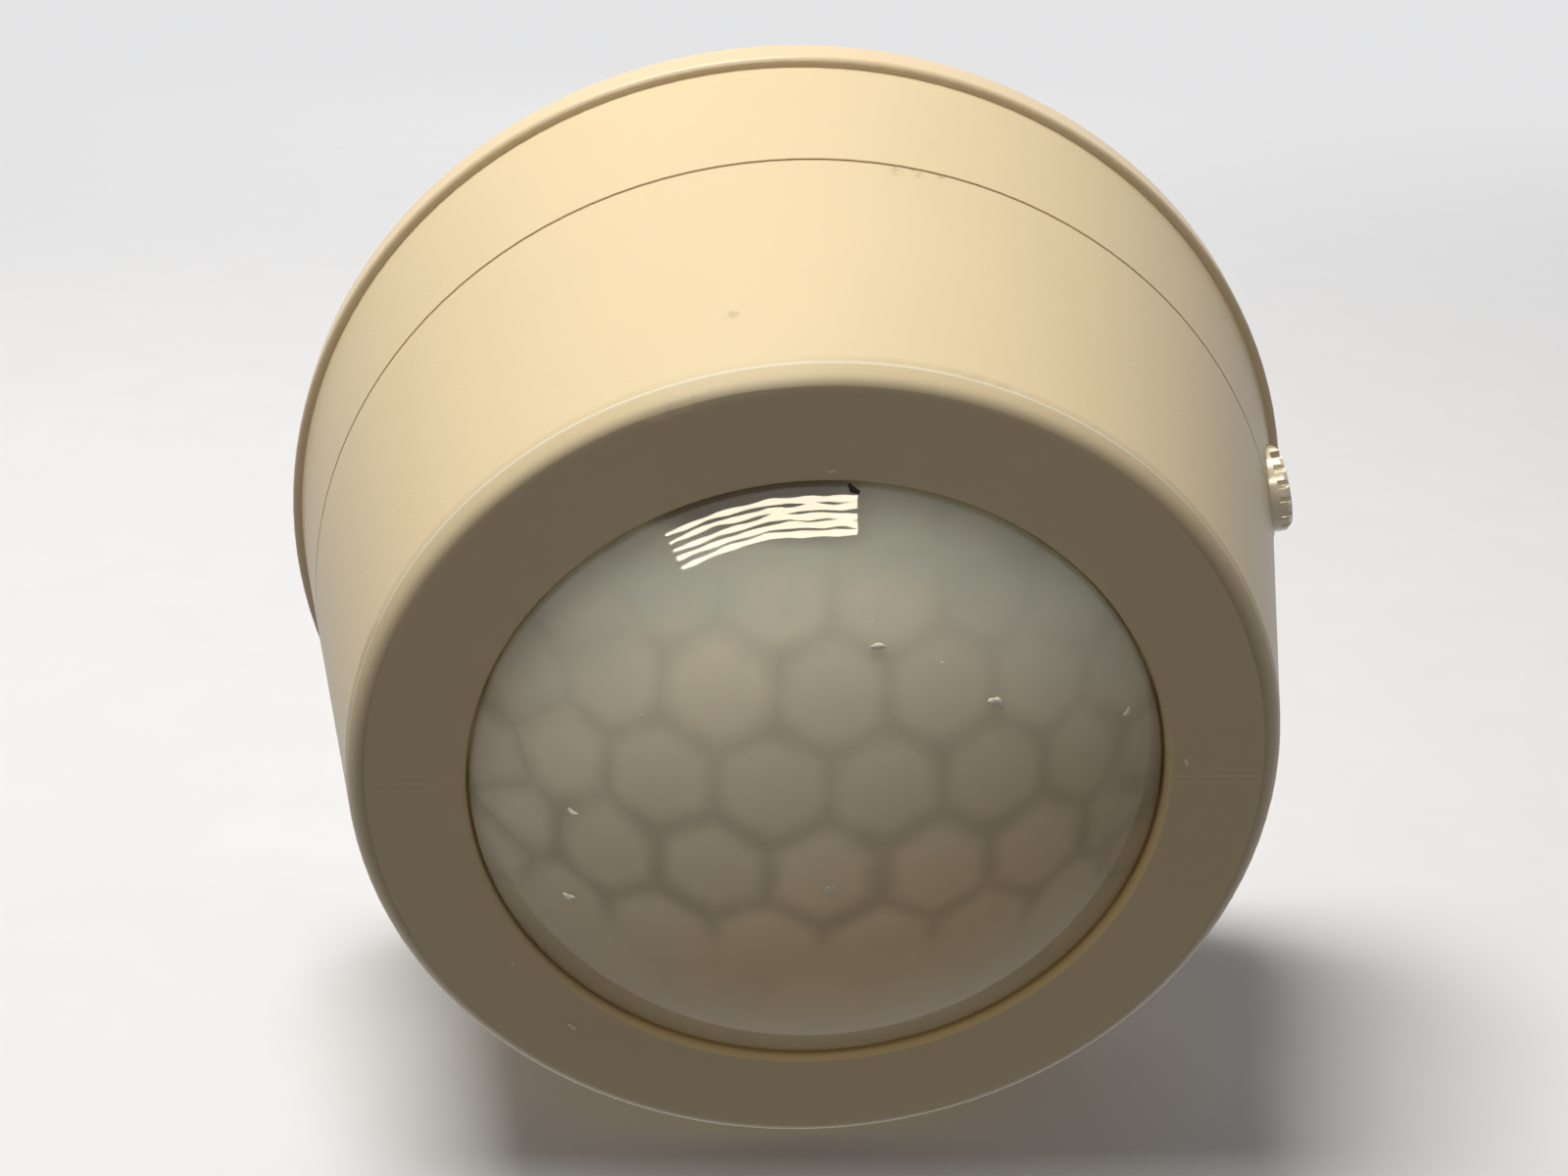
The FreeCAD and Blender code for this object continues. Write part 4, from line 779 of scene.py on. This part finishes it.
def sleeved_can(name, node):
    """A dark sleeve with a pale stripe, and bare aluminium on the end."""
    low, high = (Vector(corner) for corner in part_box(node))
    material, tree, shader = new_material(name)
    look = use(tree, moulded, {"Colour": (*SLEEVE_COLOUR, 1.0), "Unevenness": 0.15, "Grain Size": 0.4,
                               "Roughness": 0.28})
    place = own_place(tree)
    parts = add(tree, "SeparateXYZ", {0: place})
    middle = (low + high) / 2
    across = math_node(tree, "ABSOLUTE", math_node(tree, "SUBTRACT", parts.outputs[1], middle.y))
    stripe = steps(tree, across, *((high.y - low.y) * edge for edge in STRIPE_EDGES))
    stripe = math_node(tree, "MULTIPLY", stripe, math_node(tree, "LESS_THAN", parts.outputs[0], middle.x))
    colour = blend_colour(tree, stripe, look.outputs["Colour"], STRIPE_COLOUR)
    facing = add(tree, "SeparateXYZ", {0: add(tree, "NewGeometry").outputs["Normal"]}).outputs[2]
    bare = math_node(tree, "GREATER_THAN", facing, 0.7)
    colour = blend_colour(tree, bare, colour, BARE_METAL)
    paint(tree, shader, colour, look.outputs["Roughness"])
    tree.links.new(bare, shader.inputs["Metallic"])
    raise_surface(tree, shader, look.outputs["Height"], 0.00001)
    return material


for name in ("smoothing_capacitor", "output_capacitor"):
    finish_node(name, sleeved_can(name + "_sleeve", name))


# Photocell
# A round of ceramic with a thin orange track that winds to and fro over its front, under
# clear lacquer.

CERAMIC_COLOUR = srgb(226, 214, 196)
CELL_TRACK_COLOUR = srgb(206, 84, 38)
CELL_TRACK_RADIUS = 2.0


def photocell_ceramic():
    """Pale ceramic with a winding orange track."""
    low, high = (Vector(corner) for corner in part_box("photocell"))
    middle = (low + high) / 2
    material, tree, shader = new_material("photocell_ceramic", coat_weight=0.6, coat_roughness=0.08)
    place = own_place(tree)
    waves = add(tree, "TexWave", {"Vector": place, "Scale": 300.0, "Distortion": 1.2,
                                  "Detail Scale": 2.0})
    track = steps(tree, waves.outputs["Fac"], 0.45, 0.6)
    moved = add(tree, "VectorMath", {0: place, 1: (middle.x, middle.y, 0.0)}, operation="SUBTRACT")
    away = off_axis(tree, moved.outputs[0])
    inside = steps(tree, away, CELL_TRACK_RADIUS * MM, (CELL_TRACK_RADIUS - 0.1) * MM)
    mask = math_node(tree, "MULTIPLY", track, inside)
    colour = blend_colour(tree, mask, CERAMIC_COLOUR, CELL_TRACK_COLOUR)
    paint(tree, shader, colour, math_node(tree, "MULTIPLY_ADD", mask, -0.15, 0.45))
    return material


finish_node("photocell", photocell_ceramic())


# Indicator lamp
# Red tinted clear resin, cast round the chip that glows. Its legs are soldered to the
# small board.

def lamp_resin():
    """Red resin, part clear, a little deeper in places."""
    material, tree, shader = new_material("lamp_resin", transmission_weight=0.45, coat_weight=0.4,
                                          coat_roughness=0.05)
    place = own_place(tree)
    depth = noise(tree, place, 400.0, 1.0)
    colour = blend_colour(tree, depth, srgb(190, 30, 26), srgb(226, 60, 48))
    paint(tree, shader, colour, math_node(tree, "MULTIPLY_ADD", depth, 0.1, 0.08))
    return material


finish_node("indicator_lamp", lamp_resin())


# Trimmers
# Two small turning resistors on the main board: a blue moulded body with a white slotted
# rotor that a screwdriver turns.

TRIMMER_BLUE = srgb(44, 84, 160)
ROTOR_WHITE = srgb(232, 230, 218)
trimmer_plastic = plain_moulding("trimmer_plastic", TRIMMER_BLUE, roughness=0.42, grain=0.2,
                                 unevenness=0.12)
rotor_plastic = plain_moulding("rotor_plastic", ROTOR_WHITE, roughness=0.38, grain=0.25, specks=0.3)
for name in ("sensitivity_trimmer", "light_trimmer"):
    finish_node(name + "_body", trimmer_plastic)
    finish_node(name + "_rotor", rotor_plastic)


# Supply side parts
# A green moulded terminal block, a yellow boxed film capacitor, a blue dipped surge disc
# and a brown fuse case. Each is potted or moulded, and soldered to the board.

for name, slot, colour, roughness, grain in (
        ("terminal_block", "terminal_plastic", srgb(52, 132, 84), 0.42, 0.3),
        ("film_capacitor", "film_case", srgb(222, 184, 62), 0.26, 0.5),
        ("varistor", "varistor_coating", srgb(38, 96, 170), 0.22, 0.9),
        ("fuse", "fuse_case", srgb(112, 56, 32), 0.24, 0.6)):
    finish_node(name, plain_moulding(slot, colour, roughness=roughness, grain=grain, unevenness=0.14,
                                     bump=0.00003))


# Choke
# A ferrite drum wound with lacquered copper wire. The dull grey ferrite shows at its two
# end plates.

PLATE_THICKNESS = 1.2
WIRE_PITCH = 0.4


def wound_core():
    """Grey ferrite end plates, and turns of lacquered copper between them."""
    low, high = (Vector(corner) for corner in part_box("choke"))
    material, tree, shader = new_material("choke_core")
    place = own_place(tree)
    z = add(tree, "SeparateXYZ", {0: place}).outputs[2]
    off_middle = math_node(tree, "ABSOLUTE", math_node(tree, "SUBTRACT", z, (low.z + high.z) / 2))
    wound = math_node(tree, "LESS_THAN", off_middle, (high.z - low.z) / 2 - PLATE_THICKNESS * MM)
    waves = add(tree, "TexWave", {"Vector": place, "Scale": 1 / (WIRE_PITCH * MM) / 6.28,
                                  "Distortion": 0.4}, bands_direction="Z")
    turns = waves.outputs["Fac"]
    dust = noise(tree, place, 1200.0, 3.0)
    copper = blend_colour(tree, turns, srgb(92, 44, 20), srgb(190, 104, 52))
    ferrite = blend_colour(tree, dust, srgb(52, 52, 54), srgb(78, 77, 76))
    rough = math_node(tree, "MULTIPLY_ADD", wound, -0.35, 0.62)
    paint(tree, shader, blend_colour(tree, wound, ferrite, copper), rough)
    height = math_node(tree, "MULTIPLY", turns, wound)
    raise_surface(tree, shader, math_node(tree, "MULTIPLY_ADD", dust, 0.2, height), 0.0001)
    return material


finish_node("choke", wound_core())


# Dust
# Pale flakes and one dark one that have settled on the lens and the ring face, where the
# photograph shows them.

CAMERA_PLACE = Vector((-17.5925, -142.6335, -254.4631)) * MM
CAMERA_RIGHT = Vector((0.998292, -0.030063, -0.050078))
CAMERA_UP = Vector((0.0, -0.857368, 0.514702))
CAMERA_BACK = Vector((-0.058409, -0.513822, -0.855905))
CAMERA_LENS = 56.98
SENSOR_WIDTH = 36.0
IMAGE_SIZE = Vector((1600.0, 1200.0))
LENS_FLAKES = ((890, 635, 0.35), (896, 659, 0.95), (1017, 715, 1.2), (585, 829, 0.8), (582, 915, 1.0),
               (845, 908, 1.0), (1149, 727, 0.8), (655, 730, 0.35), (962, 676, 0.4))
FACE_FLAKES = ((584, 1047, 0.8), (1210, 777, 0.7), (848, 481, 0.6), (524, 983, 0.4), (640, 1085, 0.35))
DARK_FLAKE = (870, 500, 0.9)
FLAKE_LENGTH = 0.75
FLAKE_WIDTH = (0.24, 0.36)
FLAKE_HEIGHT = 0.26
FLAKE_CURL = 0.5


def pixel_ray(across, down):
    """The way from the camera through a pixel of the photograph."""
    ray = CAMERA_RIGHT * (across - IMAGE_SIZE.x / 2) + CAMERA_UP * (IMAGE_SIZE.y / 2 - down)
    return (ray - CAMERA_BACK * (CAMERA_LENS / SENSOR_WIDTH * IMAGE_SIZE.x)).normalized()


def dome_hit(across, down):
    """Where a pixel of the photograph lies on the dome, with the dome's normal there."""
    ray = pixel_ray(across, down)
    centre = Vector((0.0, 0.0, DOME_MIDDLE)) * MM
    start = CAMERA_PLACE - centre
    half = ray.dot(start)
    way = -half - math.sqrt(half * half - start.length_squared + (DOME_RADIUS * MM) ** 2)
    point = CAMERA_PLACE + ray * way
    return point, (point - centre).normalized()


def face_hit(across, down):
    """Where a pixel of the photograph lies on the ring face, with the normal there."""
    ray = pixel_ray(across, down)
    return CAMERA_PLACE + ray * ((FACE * MM - CAMERA_PLACE.z) / ray.z), Vector((0.0, 0.0, -1.0))


def add_flake(maker, dark_layer, point, normal, length, dark):
    """A thin curled flake that lies on a surface."""
    turn = Matrix.Rotation(random.uniform(0.0, math.pi), 4, normal)
    lie = turn @ normal.to_track_quat("Z", "Y").to_matrix().to_4x4()
    width = random.uniform(*FLAKE_WIDTH)
    size = Vector((length * FLAKE_LENGTH, length * width, length * FLAKE_HEIGHT)) * MM
    # Near the lowest point of the dome a flake lies flat, within the height of the dome.
    size.z = min(size.z, max((point.z - cad_box[0][2]) / 2.2, 0.01 * MM))
    made = bmesh.ops.create_icosphere(maker, subdivisions=3, radius=1.0)
    curl = random.uniform(-FLAKE_CURL, FLAKE_CURL)
    for vertex in made["verts"]:
        rim = 1.0 + 0.25 * math.sin(5.0 * vertex.co.x + 4.0 * curl) * math.sin(7.0 * vertex.co.y + curl)
        shaped = Vector((vertex.co.x * size.x * rim, vertex.co.y * size.y * rim, vertex.co.z * size.z))
        shaped.y += curl * vertex.co.x ** 2 * size.x
        vertex.co = lie @ shaped + point + normal * size.z * 0.55
        vertex[dark_layer] = dark


def dust_surface():
    """Pale fibrous dust, or dark grit."""
    material, tree, shader = new_material("settled_dust", roughness=0.8, specular_ior_level=0.2)
    place = own_place(tree)
    fibres = noise(tree, place, 4000.0)
    pale = blend_colour(tree, fibres, srgb(236, 224, 196), srgb(255, 250, 236))
    dark = add(tree, "Attribute", attribute_name="dark").outputs["Fac"]
    tree.links.new(blend_colour(tree, dark, pale, srgb(46, 38, 32)), shader.inputs["Base Color"])
    raise_surface(tree, shader, fibres, 0.00003)
    return material


mesh = bpy.data.meshes.new("dust_flakes")
maker = bmesh.new()
dark_layer = maker.verts.layers.float.new("dark")
for across, down, length in LENS_FLAKES:
    add_flake(maker, dark_layer, *dome_hit(across, down), length, 0.0)
for across, down, length in FACE_FLAKES:
    add_flake(maker, dark_layer, *face_hit(across, down), length, 0.0)
add_flake(maker, dark_layer, *dome_hit(*DARK_FLAKE[:2]), DARK_FLAKE[2], 1.0)
maker.to_mesh(mesh)
maker.free()
mesh.shade_smooth()
place_piece("dust_flakes", mesh, dust_surface(), "sensor")


# The stage
# A pale table under the side that the sensor lies on. It shows only from above and fades
# into the pale room, so that it hides nothing from the other sides.

camera_data = bpy.data.cameras.new("camera")
camera_data.lens = CAMERA_LENS
camera_data.sensor_width = SENSOR_WIDTH
camera_data.clip_start = 0.01
camera_data.clip_end = 10.0
camera = bpy.data.objects.new("camera", camera_data)
turn = Matrix((CAMERA_RIGHT, CAMERA_UP, CAMERA_BACK)).transposed().to_4x4()
camera.matrix_world = Matrix.Translation(CAMERA_PLACE) @ turn
bpy.context.scene.collection.objects.link(camera)
bpy.context.scene.camera = camera

LIP_RADIUS = 57.15 * MM
FACE_RADIUS = 45.85 * MM
TABLE_SIZE = 0.9
TABLE_FADE = (0.25, 0.85)
TABLE_COLOURS = ((0.70, 0.70, 0.71), (0.74, 0.74, 0.75))
PALE = (0.78, 0.78, 0.79)

# The table touches the rim of the base and the edge of the ring face.
foot = Vector((0.0, FACE_RADIUS, FACE * MM))
heel = Vector((0.0, LIP_RADIUS, 0.0))
along_table = (heel - foot).normalized()
table_normal = Vector((0.0, -along_table.z, along_table.y))
table_middle = foot + along_table * 0.02 - table_normal * 0.0005

mesh = bpy.data.meshes.new("table")
maker = bmesh.new()
bmesh.ops.create_circle(maker, cap_ends=True, radius=TABLE_SIZE, segments=128)
maker.to_mesh(mesh)
maker.free()
table = bpy.data.objects.new("table", mesh)
side = Vector((1.0, 0.0, 0.0))
table.matrix_world = Matrix.Translation(table_middle) @ Matrix(
    (side, table_normal.cross(side), table_normal)).transposed().to_4x4()
bpy.context.scene.collection.objects.link(table)
table.visible_diffuse = False
table.visible_glossy = False
table.visible_transmission = False
table.visible_shadow = False

material, tree, shader = new_material("table_top", roughness=0.9, specular_ior_level=0.1)
place = own_place(tree)
tone = blend_colour(tree, noise(tree, place, 60.0, 4.0), *TABLE_COLOURS)
tree.links.new(tone, shader.inputs["Base Color"])
far = add(tree, "VectorMath", {0: place}, operation="LENGTH").outputs["Value"]
gone = steps(tree, far, *TABLE_FADE)
behind = add(tree, "NewGeometry").outputs["Backfacing"]
unseen = math_node(tree, "MAXIMUM", gone, behind)
clear = add(tree, "BsdfTransparent")
mixed = add(tree, "MixShader", {0: unseen, 1: shader.outputs[0], 2: clear.outputs[0]})
tree.links.new(mixed.outputs[0], tree.nodes["Material Output"].inputs["Surface"])
table.data.materials.append(material)

AMBIENT = 0.175
AMBIENT_COLOUR = (1.0, 0.965, 0.99)
world = bpy.data.worlds.new("room")
bpy.context.scene.world = world
world.use_nodes = True
tree = world.node_tree
tree.nodes.clear()
paths = add(tree, "LightPath")
seen = math_node(tree, "MAXIMUM", paths.outputs["Is Camera Ray"], paths.outputs["Is Glossy Ray"])
seen = math_node(tree, "MAXIMUM", seen, paths.outputs["Is Transmission Ray"])
dim = add(tree, "Background", {"Color": (*AMBIENT_COLOUR, 1.0), "Strength": AMBIENT})
pale = add(tree, "Background", {"Color": (*PALE, 1.0), "Strength": 1.0})
both = add(tree, "MixShader", {0: seen, 1: dim.outputs[0], 2: pale.outputs[0]})
out = add(tree, "OutputWorld")
tree.links.new(both.outputs[0], out.inputs["Surface"])


def lamp(name, place, target, size, power, colour=(1.0, 1.0, 1.0)):
    """A soft square lamp that faces a point."""
    data = bpy.data.lights.new(name, "AREA")
    data.shape = "SQUARE"
    data.size = size
    data.energy = power
    data.color = colour
    made = bpy.data.objects.new(name, data)
    place, target = Vector(place), Vector(target)
    turn = (target - place).to_track_quat("-Z", "Y").to_matrix().to_4x4()
    made.matrix_world = Matrix.Translation(place) @ turn
    bpy.context.scene.collection.objects.link(made)
    return made


middle = (0.0, 0.0, -0.03)
lamp("key", (-0.20, -0.80, 0.190), middle, 0.45, 8.65, (1.0, 0.985, 0.95))
for fill in (lamp("fill_back", (0.0, 0.1, 0.95), middle, 0.5, 4.0),
             lamp("fill_under", (-0.35, 0.80, 0.30), middle, 0.5, 1.3)):
    fill.visible_glossy = False


# The slatted lamp whose reflection lies on the dome, as wavy strips that run together to
# the right. Only reflections show it.
REFLECTION_TOP = ((677.0, 542.0), (730.0, 521.0), (785.0, 508.0), (830.0, 505.0), (875.0, 504.0))
REFLECTION_BOTTOM = ((698.0, 584.0), (738.0, 566.0), (785.0, 551.0), (830.0, 549.0), (875.0, 547.0))
SLATS = 5
SLAT_STEPS = 48
SLATTED_LAMP_AWAY = 0.6
SLATTED_LAMP_GLOW = 24.0
SLATTED_LAMP_COLOUR = (1.0, 0.88, 0.68, 1.0)
LEAST_SLAT = 0.22


def along_row(row, share):
    """A pixel part way along a row of pixels."""
    reach = share * (len(row) - 1)
    first = min(int(reach), len(row) - 2)
    return Vector(row[first]).lerp(Vector(row[first + 1]), reach - first)


def lamp_point(across, down):
    """The point of the lamp that shows at a share across and down its reflection."""
    pixel = along_row(REFLECTION_TOP, across).lerp(along_row(REFLECTION_BOTTOM, across), down)
    point, normal = dome_hit(*pixel)
    return point + pixel_ray(*pixel).reflect(normal) * SLATTED_LAMP_AWAY


mesh = bpy.data.meshes.new("slatted_lamp")
maker = bmesh.new()
for slat in range(SLATS):
    phase = random.uniform(0.0, 2 * math.pi)
    edges = []
    for step in range(SLAT_STEPS + 1):
        across = step / SLAT_STEPS
        wave = 0.02 * math.sin(9.0 * across + phase) + 0.03 * across * math.sin(23.0 * across + 2.0 * phase)
        ragged = 0.07 * math.sin(31.0 * across + 3.0 * phase)
        fullness = LEAST_SLAT + 0.17 * min(1.0, across * 1.6) + ragged
        middle_down = (slat + 0.5) / SLATS + (0.0 if slat in (0, SLATS - 1) else wave)
        upper = max(0.0, middle_down - fullness / SLATS)
        lower = min(1.0, middle_down + fullness / SLATS)
        edges.append([maker.verts.new(lamp_point(across, down)) for down in (upper, lower)])
    for here, there in zip(edges, edges[1:]):
        maker.faces.new((here[0], there[0], there[1], here[1]))
maker.to_mesh(mesh)
maker.free()
slatted_lamp = bpy.data.objects.new("slatted_lamp", mesh)
bpy.context.scene.collection.objects.link(slatted_lamp)
slatted_lamp.visible_camera = False
slatted_lamp.visible_diffuse = False
slatted_lamp.visible_transmission = False
slatted_lamp.visible_shadow = False

material = bpy.data.materials.new("slatted_light")
material.use_nodes = True
tree = material.node_tree
tree.nodes.clear()
glow = add(tree, "Emission", {"Color": SLATTED_LAMP_COLOUR, "Strength": SLATTED_LAMP_GLOW})
out = add(tree, "OutputMaterial")
tree.links.new(glow.outputs[0], out.inputs["Surface"])
slatted_lamp.data.materials.append(material)

bpy.context.scene.view_settings.view_transform = "Standard"
